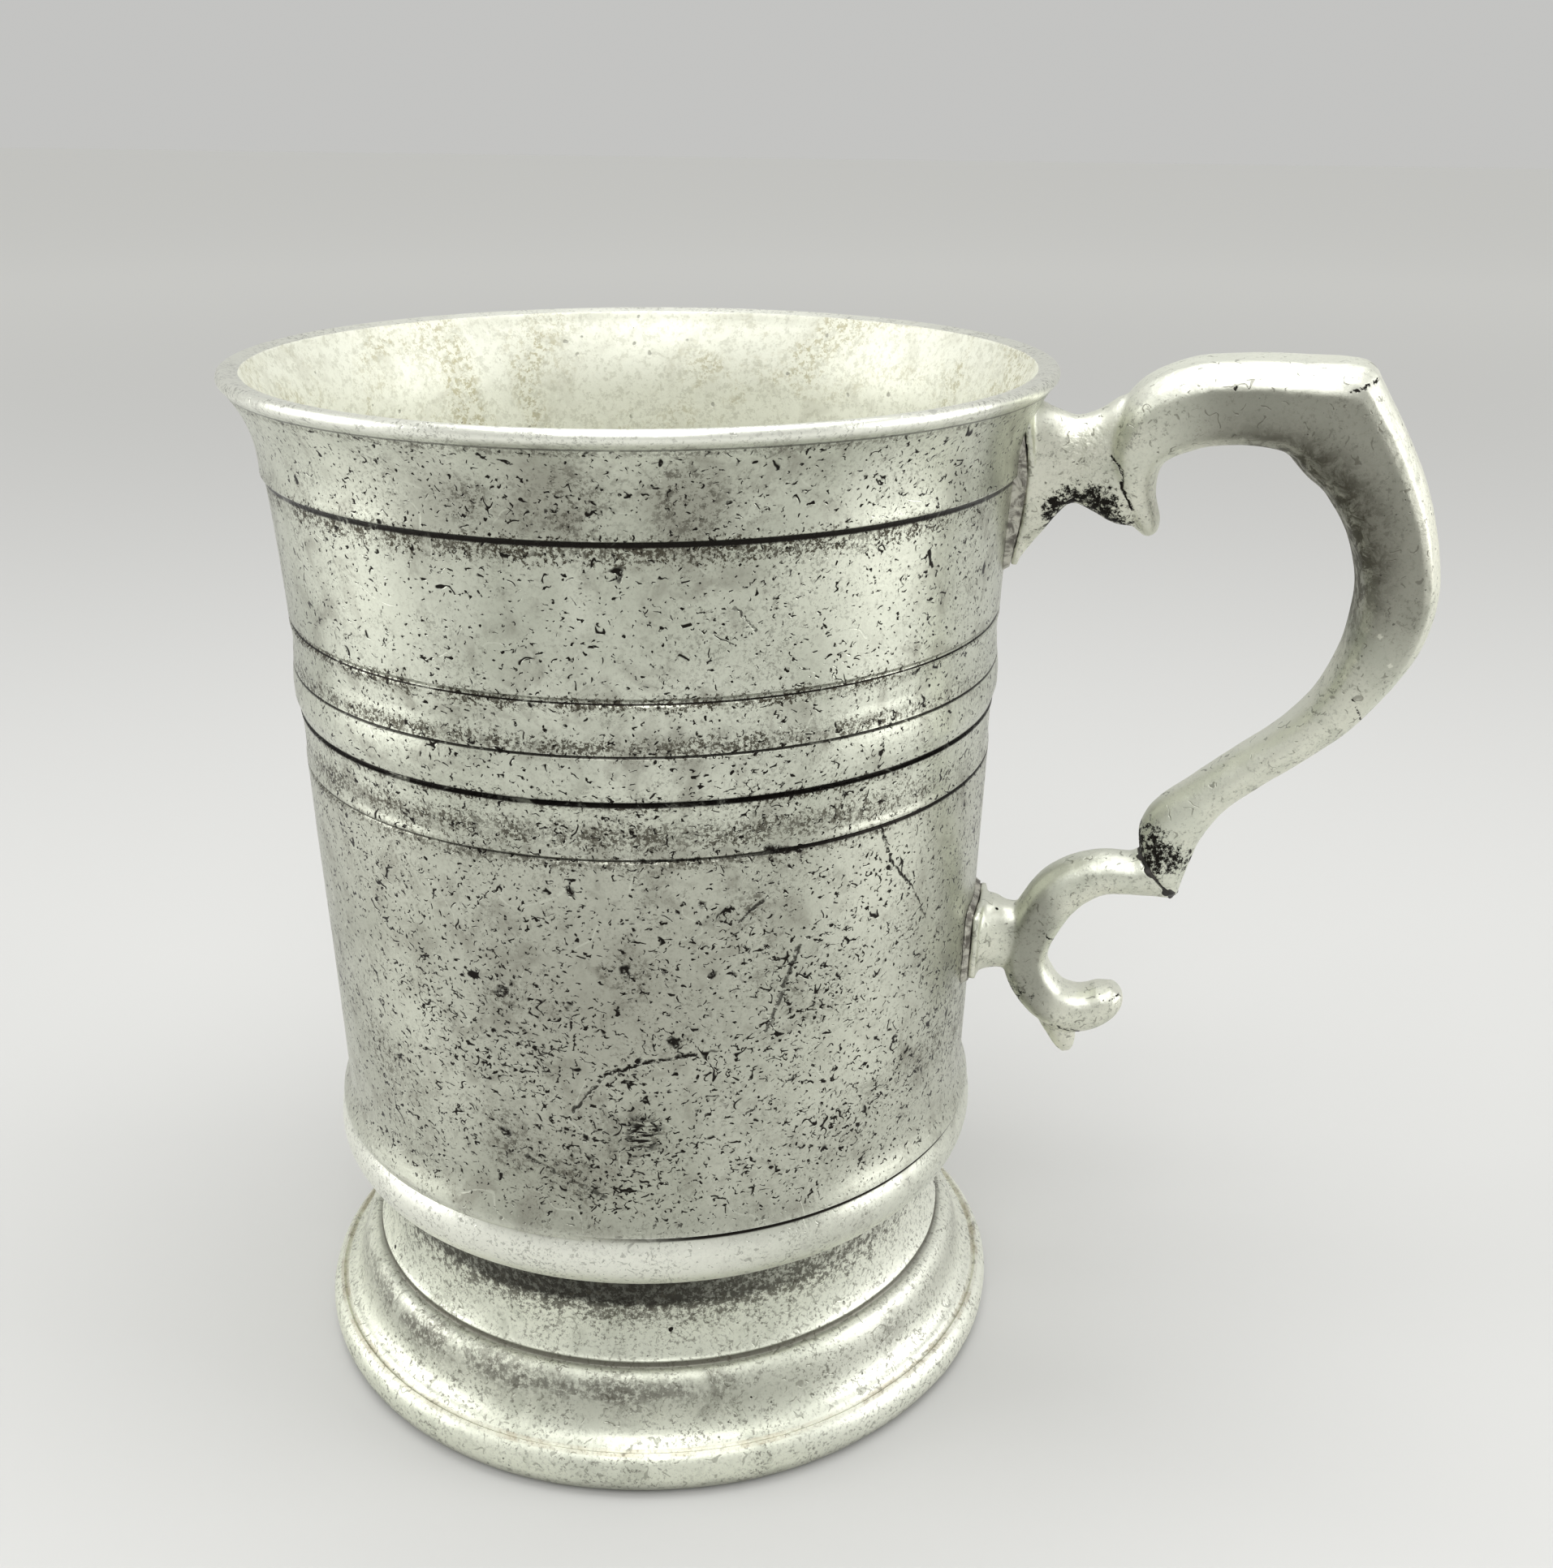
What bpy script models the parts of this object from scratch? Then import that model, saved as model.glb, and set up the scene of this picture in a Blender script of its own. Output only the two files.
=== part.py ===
"""A pewter mug with a double scroll handle.

Metres, +Z up. The mug stands on z = 0 with its handle along +X, and the origin is under the middle of
its overall box. Every piece is drawn round the barrel's own axis, and an empty on that axis carries them.
Sizes are in millimetres times MM. Heights in the barrel and the handle are taken down from the rim,
those in the foot up from the table, and each radius of the barrel and the foot from the one above it.
"""
import math

import bmesh
import bpy
from mathutils import Vector

MM = 0.001

# Fit and fineness
GAP = 0.3 * MM                   # clearance where one piece is seated on another
TURNED_STEPS = 64                # facets round a turned piece
SECTION_POINTS = 14              # points round a section of the handle
SPINE_STEPS = 2                  # rings between two stations of a handle spine
PAD_COLUMNS = 8                  # facets across a handle seat

# Overall
MUG_HEIGHT = 132.3 * MM
RIM_RADIUS = 50.1 * MM
WALL = 1.8 * MM

# Lip and the flared band under it
LIP_WIDTH = 2.6 * MM
LIP_ROUND = 0.8 * MM
LIP_FALL = 0.35 * MM             # slope of the lip's top towards the inside
LIP_UNDERCUT = 0.3 * MM          # inner wall inside the lip's inner edge
BAND_HEIGHT = 11.9 * MM
BAND_FLARE = 4.0 * MM            # from the rim in to the band's lower edge
BAND_HOLLOW = 1.1 * MM           # how far the band's side is hollowed
BAND_STEP = 0.45 * MM

# Barrel below the band
WALL_SPREAD = 1.7 * MM           # from the band's lower edge in to the wall at the first turned line
WALL_TAPER = 2.2 * MM            # from there in to the wall's foot
BULGE_SWELL = 1.4 * MM           # from the wall's foot out to the bulge
BULGE_HEIGHT = 7.9 * MM
BULGE_FAIRING = 4.7 * MM         # from the bulge's top up to the plain wall
BULGE_CREST = 3.0 * MM           # from the bulge's top down to its widest place
BASE_THICKNESS = 1.7 * MM
BASE_LEDGE = 4.0 * MM            # from the foot's neck in to the opening in the barrel's bottom
LINE_WIDTH = 0.7 * MM
LINE_DEPTH = 0.35 * MM
LINE_DROPS = (29.3 * MM, 40.9 * MM, 47.6 * MM)
HOOP_HEIGHT = 6.4 * MM           # raised hoop above the second line
HOOP_SWELL = 0.45 * MM

# Floor
FLOOR_THICKNESS = 1.8 * MM

# Foot
FOOT_HEIGHT = 27.0 * MM
NECK_INSET = 4.2 * MM            # from the wall's foot in to the neck
NECK_WALL = 2.0 * MM
COVE_SPREAD = 0.4 * MM           # from the neck out to the top of the cove
COVE_HEIGHT = 6.4 * MM
COVE_HOLLOW = 0.45 * MM
STEP_SPREAD = 1.6 * MM           # from the neck out to the step
STEP_HEIGHT = 14.7 * MM
STEP_DROP = 0.8 * MM
STEP_SHELF = 0.3 * MM
FOOT_SPREAD = 9.2 * MM           # from the neck out to the foot's edge
OGEE_BOW = 0.5 * MM              # swell and hollow of the foot's slope
EDGE_HEIGHT = 5.8 * MM           # height of the rounded edge
EDGE_INSET = 2.0 * MM            # from the edge in to the turned line above it
EDGE_LINE = 0.3 * MM             # depth of that line
BEARING_INSET = 2.3 * MM         # from the edge in to the flat ring that the mug stands on
BEARING_WIDTH = 2.6 * MM
FOOT_WALL = 2.2 * MM
BEAD_SIZE = 0.9 * MM             # solder bead round the neck

# Handle seats on the barrel
UPPER_SEAT_DROP = 13.3 * MM      # from the rim down to the seat's middle
UPPER_SEAT_HEIGHT = 20.0 * MM
UPPER_SEAT_WIDTH = 12.6 * MM
UPPER_SEAT_TIP = 2.8 * MM        # width of the tongue's lower end
SEAT_SPACING = 59.7 * MM         # between the middles of the two seats
LOWER_SEAT_HEIGHT = 10.0 * MM
LOWER_SEAT_WIDTH = 11.4 * MM
BED_THICKNESS = 0.4 * MM         # solder between barrel and handle
TONGUE_LIFT = 0.9 * MM           # extra solder behind the straight tongue's middle
SEAT_PLATE = 0.6 * MM

# Main scroll: (out from the barrel, up from the upper seat, thickness, width) from tip to joint
MAIN_SPINE = (
    (16.5, -5.8, 0.9, 2.0),
    (15.9, -4.2, 3.2, 4.6),
    (14.9, -1.2, 5.6, 7.6),
    (14.1, 2.2, 7.2, 9.8),
    (14.4, 5.6, 8.2, 11.6),
    (16.6, 8.9, 9.0, 12.8),
    (20.6, 10.7, 9.3, 13.6),
    (25.6, 11.3, 9.3, 14.2),
    (31.0, 11.1, 9.8, 14.6),
    (36.4, 9.2, 12.6, 14.8),
    (40.8, 3.5, 9.8, 14.8),
    (44.0, -2.9, 8.9, 14.2),
    (45.4, -9.8, 8.7, 13.4),
    (44.8, -15.5, 8.2, 12.4),
    (42.9, -20.6, 7.0, 10.8),
    (39.5, -25.9, 6.2, 9.2),
    (34.8, -30.5, 5.7, 8.0),
    (30.3, -34.1, 5.7, 7.2),
    (26.0, -37.9, 5.9, 6.8),
    (22.6, -42.6, 6.2, 6.6),
    (21.1, -46.3, 6.8, 6.4),
    (20.9, -48.8, 7.9, 6.4),
)
# Strut from the upper seat into the scroll: (out, lower edge, upper edge, width)
MAIN_STRUT = (
    (3.9, -5.6, 8.7, 8.8),
    (5.2, -3.6, 8.4, 7.6),
    (6.9, -2.1, 8.1, 7.0),
    (9.4, -3.1, 9.0, 7.6),
    (11.8, -4.3, 10.6, 8.2),
    (14.0, -4.6, 10.6, 7.4),
)

# Lower scroll: (out from the barrel, up from the lower seat, thickness, width) from joint to curl
LOWER_SPINE = (
    (20.7, 10.1, 6.0, 6.4),
    (16.6, 9.9, 6.0, 6.4),
    (13.4, 8.6, 6.4, 6.6),
    (10.9, 6.6, 6.6, 6.8),
    (9.1, 3.8, 6.6, 7.0),
    (7.6, 0.4, 6.4, 7.0),
    (7.2, -3.2, 6.0, 7.0),
    (8.4, -6.3, 5.9, 7.0),
    (10.8, -9.0, 5.9, 7.0),
    (13.8, -10.0, 6.1, 7.0),
    (16.4, -9.3, 5.9, 6.8),
    (18.3, -7.8, 4.9, 6.2),
    (19.3, -6.5, 2.4, 3.6),
)
LOWER_STRUT = (
    (2.9, -4.6, 4.9, 8.2),
    (4.4, -4.6, 4.4, 6.6),
    (6.4, -5.0, 4.2, 6.0),
    (8.4, -4.6, 3.0, 5.4),
)
# Pointed drop under the lower scroll: (out, up, diameter)
DROP_SPINE = (
    (11.0, -9.2, 5.2),
    (12.4, -12.2, 4.0),
    (13.3, -14.8, 2.4),
    (13.6, -16.6, 0.8),
)
# How square each section is: 2 is an ellipse, more is squarer
MAIN_SQUARENESS = 2.7
LOWER_SQUARENESS = 2.3
STRUT_SQUARENESS = 2.4
SEAT_SQUARENESS = 3.0
DROP_SQUARENESS = 2.0
STRUT_ROOT = 0.86                # share of its seat that a strut's root covers
# Rows of a handle seat, bottom to top: share of its height, share of its width left at the corners
PAD_ROWS = (
    (0.0, 0.62),
    (0.04, 0.86),
    (0.12, 1.0),
    (0.35, 1.0),
    (0.6, 1.0),
    (0.82, 1.0),
    (0.95, 0.97),
    (1.0, 0.88),
)

# Soldered butt joint between the two scrolls, placed from the lower seat
JOINT_OUT = 23.2 * MM
JOINT_UP = 10.5 * MM
JOINT_TILT = math.radians(40.5)  # of the joint's normal above the horizontal
JOINT_LENGTH = 7.9 * MM
JOINT_WIDTH = 6.4 * MM
JOINT_SOLDER = 0.6 * MM
JOINT_COLLAR = 0.35 * MM         # how far the solder stands out all round
JOINT_EASE = 2                   # rings over which a scroll's end turns square to the joint

# Colours read from the photograph, linear
PEWTER = (0.50, 0.49, 0.44, 1.0)
PEWTER_FOOT = (0.56, 0.55, 0.47, 1.0)
PEWTER_HANDLE = (0.48, 0.46, 0.42, 1.0)
SOLDER = (0.34, 0.33, 0.30, 1.0)
SOLDER_BLACK = (0.06, 0.06, 0.055, 1.0)
SHARP_ANGLE = math.radians(35)

# Radii that follow from each other
BAND_RADIUS = RIM_RADIUS - BAND_FLARE
UPPER_WALL_RADIUS = BAND_RADIUS - WALL_SPREAD
LOWER_WALL_RADIUS = UPPER_WALL_RADIUS - WALL_TAPER
BULGE_RADIUS = LOWER_WALL_RADIUS + BULGE_SWELL
INNER_WALL_RADIUS = LOWER_WALL_RADIUS - WALL
NECK_RADIUS = LOWER_WALL_RADIUS - NECK_INSET
BASE_HOLE_RADIUS = NECK_RADIUS - BASE_LEDGE
STEP_RADIUS = NECK_RADIUS + STEP_SPREAD
FOOT_RADIUS = NECK_RADIUS + FOOT_SPREAD

# Heights that follow from each other
DRUM_BOTTOM = FOOT_HEIGHT + GAP
BULGE_TOP = DRUM_BOTTOM + BULGE_HEIGHT
WALL_FOOT = BULGE_TOP + BULGE_FAIRING
BAND_FOOT = MUG_HEIGHT - BAND_HEIGHT
LINE_HEIGHTS = tuple(MUG_HEIGHT - drop for drop in LINE_DROPS)
UPPER_SEAT_Z = MUG_HEIGHT - UPPER_SEAT_DROP
LOWER_SEAT_Z = UPPER_SEAT_Z - SEAT_SPACING
UPPER_SEAT = (UPPER_SEAT_Z, UPPER_SEAT_HEIGHT, UPPER_SEAT_WIDTH, UPPER_SEAT_TIP)
LOWER_SEAT = (LOWER_SEAT_Z, LOWER_SEAT_HEIGHT, LOWER_SEAT_WIDTH, LOWER_SEAT_WIDTH)


def clear_scene():
    for found in list(bpy.data.objects):
        bpy.data.objects.remove(found, do_unlink=True)


def pewter(name, colour, roughness, metallic=0.95):
    material = bpy.data.materials.new(name)
    material.use_nodes = True
    shader = material.node_tree.nodes["Principled BSDF"]
    shader.inputs["Base Color"].default_value = colour
    shader.inputs["Roughness"].default_value = roughness
    shader.inputs["Metallic"].default_value = metallic
    return material


def make_object(name, mesh, material):
    made = bpy.data.objects.new(name, mesh)
    bpy.context.scene.collection.objects.link(made)
    made.parent = bpy.data.objects["mug_axis"]
    mesh.materials.append(material)
    mesh.shade_smooth()
    mesh.set_sharp_from_angle(angle=SHARP_ANGLE)
    return made


# Turned pieces

def arc(centre, radius, start, end, steps):
    """Points (r, z) on an arc, angles in degrees, 0 pointing out and 90 up."""
    points = []
    for i in range(steps + 1):
        angle = math.radians(start + (end - start) * i / steps)
        points.append((centre[0] + radius * math.cos(angle), centre[1] + radius * math.sin(angle)))
    return points


def bow(start, end, depth, steps):
    """Points between two (r, z) points on a shallow bow, positive depth to the right of the run."""
    across = Vector((end[1] - start[1], start[0] - end[0])).normalized()
    points = []
    for i in range(1, steps):
        t = i / steps
        lift = 4 * depth * t * (1 - t)
        r = start[0] + (end[0] - start[0]) * t + across.x * lift
        z = start[1] + (end[1] - start[1]) * t + across.y * lift
        points.append((r, z))
    return points


def wall_radius(height):
    """Outer radius of the plain wall between the band and the bulge."""
    line = LINE_HEIGHTS[0]
    if height >= line:
        share = (height - line) / (BAND_FOOT - line)
        return UPPER_WALL_RADIUS + (WALL_SPREAD - BAND_STEP) * share ** 1.4
    share = max(0.0, (height - WALL_FOOT) / (line - WALL_FOOT))
    return LOWER_WALL_RADIUS + WALL_TAPER * share


def hoop_outline():
    """The raised hoop above the second turned line, from its faint upper side to its full lower one."""
    foot = LINE_HEIGHTS[1] + LINE_WIDTH / 2
    rise = ((1.0, 0.0), (0.62, 0.55), (0.34, 1.0), (0.14, 0.85))
    heights = [(foot + share * HOOP_HEIGHT, swell * HOOP_SWELL) for share, swell in rise]
    return [(wall_radius(height) + swell, height) for height, swell in heights]


def turned_line(height):
    """A shallow V cut round the plain wall."""
    radius = wall_radius(height)
    half = LINE_WIDTH / 2
    return [(radius, height + half), (radius - LINE_DEPTH, height), (radius, height - half)]


def lip_outline():
    """The lip's rounded outer edge and the hollow flare of the band under it."""
    lip = arc((RIM_RADIUS - LIP_ROUND, MUG_HEIGHT - LIP_ROUND), LIP_ROUND, 90, -30, 4)
    flare = bow(lip[-1], (BAND_RADIUS, BAND_FOOT), BAND_HOLLOW, 5)
    return lip + flare + [(BAND_RADIUS, BAND_FOOT), (BAND_RADIUS - BAND_STEP, BAND_FOOT - BAND_STEP)]


def bulge_outline():
    """The rolled bulge at the barrel's foot, from the line above it to the turned-in bottom."""
    half = LINE_WIDTH / 2
    crest = BULGE_TOP - BULGE_CREST
    under = BULGE_RADIUS - (NECK_RADIUS + GAP + 2 * BEAD_SIZE)
    points = [(BULGE_RADIUS - LINE_DEPTH, BULGE_TOP + half), (BULGE_RADIUS - 2 * LINE_DEPTH, BULGE_TOP)]
    points.append((BULGE_RADIUS - 0.4 * LINE_DEPTH, BULGE_TOP - half))
    for degrees in (0, 25, 50, 70, 90):
        angle = math.radians(degrees)
        r = BULGE_RADIUS - under * (1 - math.cos(angle))
        points.append((r, crest - (crest - DRUM_BOTTOM) * math.sin(angle)))
    return points


def drum_outside():
    """Outer outline of the barrel from the lip down to its turned-in bottom."""
    points = lip_outline()
    shoulder = (BAND_FOOT + LINE_HEIGHTS[0]) / 2
    points.append((wall_radius(shoulder), shoulder))
    upper, second, third = LINE_HEIGHTS
    points += turned_line(upper) + hoop_outline() + turned_line(second) + turned_line(third)
    middle = (LINE_HEIGHTS[-1] + WALL_FOOT) / 2
    points += [(wall_radius(middle), middle), (LOWER_WALL_RADIUS, WALL_FOOT)]
    return points + bulge_outline()


def drum_inside():
    """Inner outline of the barrel from its turned-in bottom up to the lip."""
    ledge = DRUM_BOTTOM + BASE_THICKNESS
    lip_edge = (RIM_RADIUS - LIP_WIDTH, MUG_HEIGHT - LIP_FALL)
    under_lip = (lip_edge[0] - LIP_UNDERCUT, lip_edge[1] - LIP_ROUND)
    points = [(BASE_HOLE_RADIUS, DRUM_BOTTOM), (BASE_HOLE_RADIUS, ledge), (INNER_WALL_RADIUS, ledge)]
    points.append((INNER_WALL_RADIUS, WALL_FOOT))
    points += [(wall_radius(height) - WALL, height) for height in (LINE_HEIGHTS[-1], LINE_HEIGHTS[0])]
    points.append((BAND_RADIUS - WALL, BAND_FOOT))
    return points + bow(points[-1], under_lip, -0.6 * BAND_HOLLOW, 4) + [under_lip, lip_edge]


def foot_outline():
    """Closed outline of the foot: down its outside, then up its hollow underside."""
    groove = (FOOT_RADIUS - EDGE_INSET, EDGE_HEIGHT)
    step = (STEP_RADIUS, STEP_HEIGHT)
    shelf = (STEP_RADIUS + STEP_SHELF, STEP_HEIGHT - STEP_DROP)
    cove = (NECK_RADIUS + COVE_SPREAD, min(STEP_HEIGHT + COVE_HEIGHT, (STEP_HEIGHT + 3 * FOOT_HEIGHT) / 4))
    knee = (shelf[0] + 0.43 * (groove[0] - shelf[0]), shelf[1] - 0.42 * (shelf[1] - groove[1]))
    points = [(NECK_RADIUS, FOOT_HEIGHT), cove, *bow(cove, step, COVE_HOLLOW, 3), step, shelf]
    points += [*bow(shelf, knee, -OGEE_BOW, 3), knee, *bow(knee, groove, OGEE_BOW, 3), groove]
    points.append((groove[0] + 0.6 * EDGE_LINE, groove[1] - EDGE_LINE))
    for degrees in (62, 30, 0, -30, -60):
        angle = math.radians(degrees)
        z = EDGE_HEIGHT * (0.5 + 0.5 * math.sin(angle))
        points.append((groove[0] + EDGE_INSET * math.cos(angle), z))
    bearing = FOOT_RADIUS - BEARING_INSET
    inside = bearing - BEARING_WIDTH
    points += [(bearing, 0.0), (inside, 0.0), (inside - EDGE_LINE, 0.6 * EDGE_HEIGHT)]
    points += [(knee[0] - FOOT_WALL, knee[1] - 0.5 * FOOT_WALL)]
    points += [(step[0] - FOOT_WALL, step[1] - 0.3 * FOOT_WALL)]
    return points + [(NECK_RADIUS - NECK_WALL, cove[1]), (NECK_RADIUS - NECK_WALL, FOOT_HEIGHT)]


def bead_outline():
    """Solder bead in the corner between the foot's neck and the barrel's underside."""
    inner = NECK_RADIUS + GAP
    fillet = arc((inner, FOOT_HEIGHT), 0.8 * BEAD_SIZE, -25, -65, 2)
    return [(inner + BEAD_SIZE, FOOT_HEIGHT), *fillet, (inner, FOOT_HEIGHT - BEAD_SIZE), (inner, FOOT_HEIGHT)]


def turn(name, outline, material):
    """Turn a closed (r, z) outline, listed down its outer side first, round the Z axis."""
    mesh = bpy.data.meshes.new(name)
    verts = [(r, 0.0, z) for r, z in outline]
    edges = [(i, (i + 1) % len(verts)) for i in range(len(verts))]
    mesh.from_pydata(verts, edges, [])
    made = make_object(name, mesh, material)
    screw = made.modifiers.new("turn", 'SCREW')
    screw.steps = TURNED_STEPS
    screw.render_steps = TURNED_STEPS
    screw.use_merge_vertices = True
    screw.merge_threshold = 0.00001
    screw.use_normal_calculate = False
    return made


def make_floor(material):
    """The disc that closes the barrel, resting on its turned-in bottom."""
    low = DRUM_BOTTOM + BASE_THICKNESS + GAP
    radius = INNER_WALL_RADIUS - GAP
    mesh = bpy.data.meshes.new("floor_disc")
    shape = bmesh.new()
    bmesh.ops.create_cone(
        shape, cap_ends=True, segments=TURNED_STEPS, depth=FLOOR_THICKNESS, radius1=radius, radius2=radius)
    bmesh.ops.translate(shape, verts=shape.verts, vec=(0, 0, low + FLOOR_THICKNESS / 2))
    shape.to_mesh(mesh)
    shape.free()
    return make_object("floor_disc", mesh, material)


# Handle

def barrel_surface(height):
    """Outer radius of the barrel at a height, read off its outline, turned lines left out."""
    outline = [point for point in drum_outside() if point[0] >= wall_radius(point[1]) - LINE_DEPTH / 4]
    for upper, lower in zip(outline, outline[1:]):
        if lower[1] <= height <= upper[1]:
            share = (height - lower[1]) / max(upper[1] - lower[1], 1e-9)
            return lower[0] + (upper[0] - lower[0]) * share
    return wall_radius(height)


def smooth_path(stations, steps):
    """A Catmull-Rom curve through tuples of numbers, with steps rings between two stations."""
    ends = [stations[0], *stations, stations[-1]]
    path = []
    for i in range(1, len(ends) - 2):
        before, start, end, after = ends[i - 1:i + 3]
        for j in range(steps):
            t = j / steps
            path.append(tuple(
                0.5 * (2 * b + (c - a) * t + (2 * a - 5 * b + 4 * c - d) * t ** 2
                       + (3 * b - a - 3 * c + d) * t ** 3)
                for a, b, c, d in zip(before, start, end, after)))
    path.append(tuple(stations[-1]))
    return path


def section(centre, axis, thickness, width, squareness):
    """A closed ring of points round a centre, thickness along axis and width along Y."""
    ring = []
    for i in range(SECTION_POINTS):
        angle = 2 * math.pi * (i + 0.5) / SECTION_POINTS
        along = math.copysign(abs(math.cos(angle)) ** (2 / squareness), math.cos(angle))
        across = math.copysign(abs(math.sin(angle)) ** (2 / squareness), math.sin(angle))
        ring.append(centre + axis * (along * thickness / 2) + Vector((0, across * width / 2, 0)))
    return ring


def skin(rings):
    """A closed mesh through rings that all have the same number of points."""
    shape = bmesh.new()
    rows = [[shape.verts.new(point) for point in ring] for ring in rings]
    count = len(rows[0])
    for upper, lower in zip(rows, rows[1:]):
        for i in range(count):
            j = (i + 1) % count
            shape.faces.new((upper[i], upper[j], lower[j], lower[i]))
    shape.faces.new(rows[0])
    shape.faces.new(rows[-1])
    bmesh.ops.recalc_face_normals(shape, faces=shape.faces)
    return shape


def sweep(stations, squareness, steps=SPINE_STEPS, end_axis=None):
    """Rings along a spine of (x, z, thickness, width); the last one lies along end_axis, if given."""
    path = smooth_path(stations, steps)
    rings = []
    for i, (x, z, thickness, width) in enumerate(path):
        before = path[max(i - 1, 0)]
        after = path[min(i + 1, len(path) - 1)]
        run = Vector((after[0] - before[0], 0, after[1] - before[1])).normalized()
        axis = Vector((run.z, 0, -run.x))
        left = len(path) - 1 - i
        if end_axis is not None and left <= JOINT_EASE:
            side = end_axis if axis.dot(end_axis) > 0 else -end_axis
            axis = axis.lerp(side, 1 - left / (JOINT_EASE + 1)).normalized()
        rings.append(section(Vector((x, 0, z)), axis, thickness, width, squareness))
    return rings


def seat_ring(seat, radius_at, out, shrink):
    """Outline inside a handle seat, bent round the barrel at a distance out from its surface."""
    centre_z, height, width, tip_width = seat
    flat = section(Vector((0, 0, centre_z)), Vector((0, 0, 1)), shrink * height, shrink * width,
                   SEAT_SQUARENESS)
    ring = []
    for point in flat:
        share = (point.z - centre_z) / height + 0.5
        y = point.y * (tip_width + (width - tip_width) * share) / width
        radius = radius_at(point.z) + out
        ring.append(Vector((math.sqrt(radius ** 2 - y ** 2), y, point.z)))
    return ring


def seat_pad(seat, back_at, front_at):
    """A closed pad bent round the barrel between two radii, each a function of height."""
    centre_z, height, width, tip_width = seat
    shape = bmesh.new()
    sheets = []
    for radius_at in (back_at, front_at):
        sheet = []
        for share, corner in PAD_ROWS:
            z = centre_z + (share - 0.5) * height
            half = corner * (tip_width + (width - tip_width) * share) / 2
            row = []
            for i in range(PAD_COLUMNS + 1):
                y = half * (2 * i / PAD_COLUMNS - 1)
                row.append(shape.verts.new((math.sqrt(radius_at(z) ** 2 - y ** 2), y, z)))
            sheet.append(row)
        sheets.append(sheet)
    back, front = sheets
    last = len(PAD_ROWS) - 1
    for sheet in sheets:
        for j in range(last):
            for i in range(PAD_COLUMNS):
                shape.faces.new((sheet[j][i], sheet[j][i + 1], sheet[j + 1][i + 1], sheet[j + 1][i]))
    for j in (0, last):
        for i in range(PAD_COLUMNS):
            shape.faces.new((back[j][i], back[j][i + 1], front[j][i + 1], front[j][i]))
    for i in (0, PAD_COLUMNS):
        for j in range(last):
            shape.faces.new((back[j][i], back[j + 1][i], front[j + 1][i], front[j][i]))
    bmesh.ops.recalc_face_normals(shape, faces=shape.faces)
    return shape


def strut_rings(base_x, seat_z, stations):
    rings = []
    for out, low, high, width in stations:
        centre = Vector((base_x + out * MM, 0, seat_z + (low + high) / 2 * MM))
        rings.append(section(centre, Vector((0, 0, 1)), (high - low) * MM, width * MM, STRUT_SQUARENESS))
    return rings


def solid(name, shape, material):
    mesh = bpy.data.meshes.new(name)
    shape.to_mesh(mesh)
    shape.free()
    return make_object(name, mesh, material)


def weld(target, *others):
    """Join other closed solids to the target, which becomes one body with them."""
    for other in others:
        other.hide_render = True
        other.display_type = 'WIRE'
        union = target.modifiers.new("weld_" + other.name, 'BOOLEAN')
        union.operation = 'UNION'
        union.solver = 'EXACT'
        union.object = other


def upper_bed_front(height):
    """Radius of the upper solder bed's front, which runs straighter than the flared barrel."""
    share = (height - UPPER_SEAT_Z) / UPPER_SEAT_HEIGHT + 0.5
    lift = TONGUE_LIFT * math.sin(math.pi * min(1.0, max(0.0, share)))
    return barrel_surface(height) + GAP + BED_THICKNESS + lift


def lower_bed_front(height):
    return barrel_surface(height) + GAP + BED_THICKNESS


def beyond(radius_at, out):
    """The radius a distance out from another one, as a function of height."""
    return lambda height: radius_at(height) + out


def seated_strut(name, seat, bed_front, stations, material):
    """The plate that lies on a solder bed, and the strut that rises from it, as two solids."""
    pad = seat_pad(seat, beyond(bed_front, GAP), beyond(bed_front, GAP + SEAT_PLATE))
    plate = solid(name + "_plate", pad, material)
    root = seat_ring(seat, bed_front, GAP + SEAT_PLATE / 2, STRUT_ROOT)
    rings = [root, *strut_rings(barrel_surface(seat[0]), seat[0], stations)]
    return plate, solid(name + "_strut", skin(rings), material)


def joint_frame():
    """Centre, normal and long axis of the joint between the two scrolls."""
    centre = Vector((barrel_surface(LOWER_SEAT_Z) + JOINT_OUT, 0, LOWER_SEAT_Z + JOINT_UP))
    normal = Vector((math.cos(JOINT_TILT), 0, math.sin(JOINT_TILT)))
    axis = Vector((normal.z, 0, -normal.x))
    return centre, normal, axis


def make_main_scroll(material):
    base_x = barrel_surface(UPPER_SEAT_Z)
    centre, normal, axis = joint_frame()
    end = centre + normal * (JOINT_SOLDER / 2 + GAP)
    last = len(MAIN_SPINE) - 1
    drawn = Vector((base_x + MAIN_SPINE[last][0] * MM, 0, UPPER_SEAT_Z + MAIN_SPINE[last][1] * MM))
    slip = end - drawn
    stations = []
    for i, (out, up, thickness, width) in enumerate(MAIN_SPINE):
        pull = (i / last) ** 3
        x = base_x + out * MM + slip.x * pull
        z = UPPER_SEAT_Z + up * MM + slip.z * pull
        stations.append((x, z, thickness * MM, width * MM))
    stations[last] = (end.x, end.z, JOINT_LENGTH, JOINT_WIDTH)
    arm = solid("main_scroll", skin(sweep(stations, MAIN_SQUARENESS, end_axis=axis)), material)
    plate, strut = seated_strut("main_scroll", UPPER_SEAT, upper_bed_front, MAIN_STRUT, material)
    weld(arm, strut, plate)
    return arm


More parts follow.
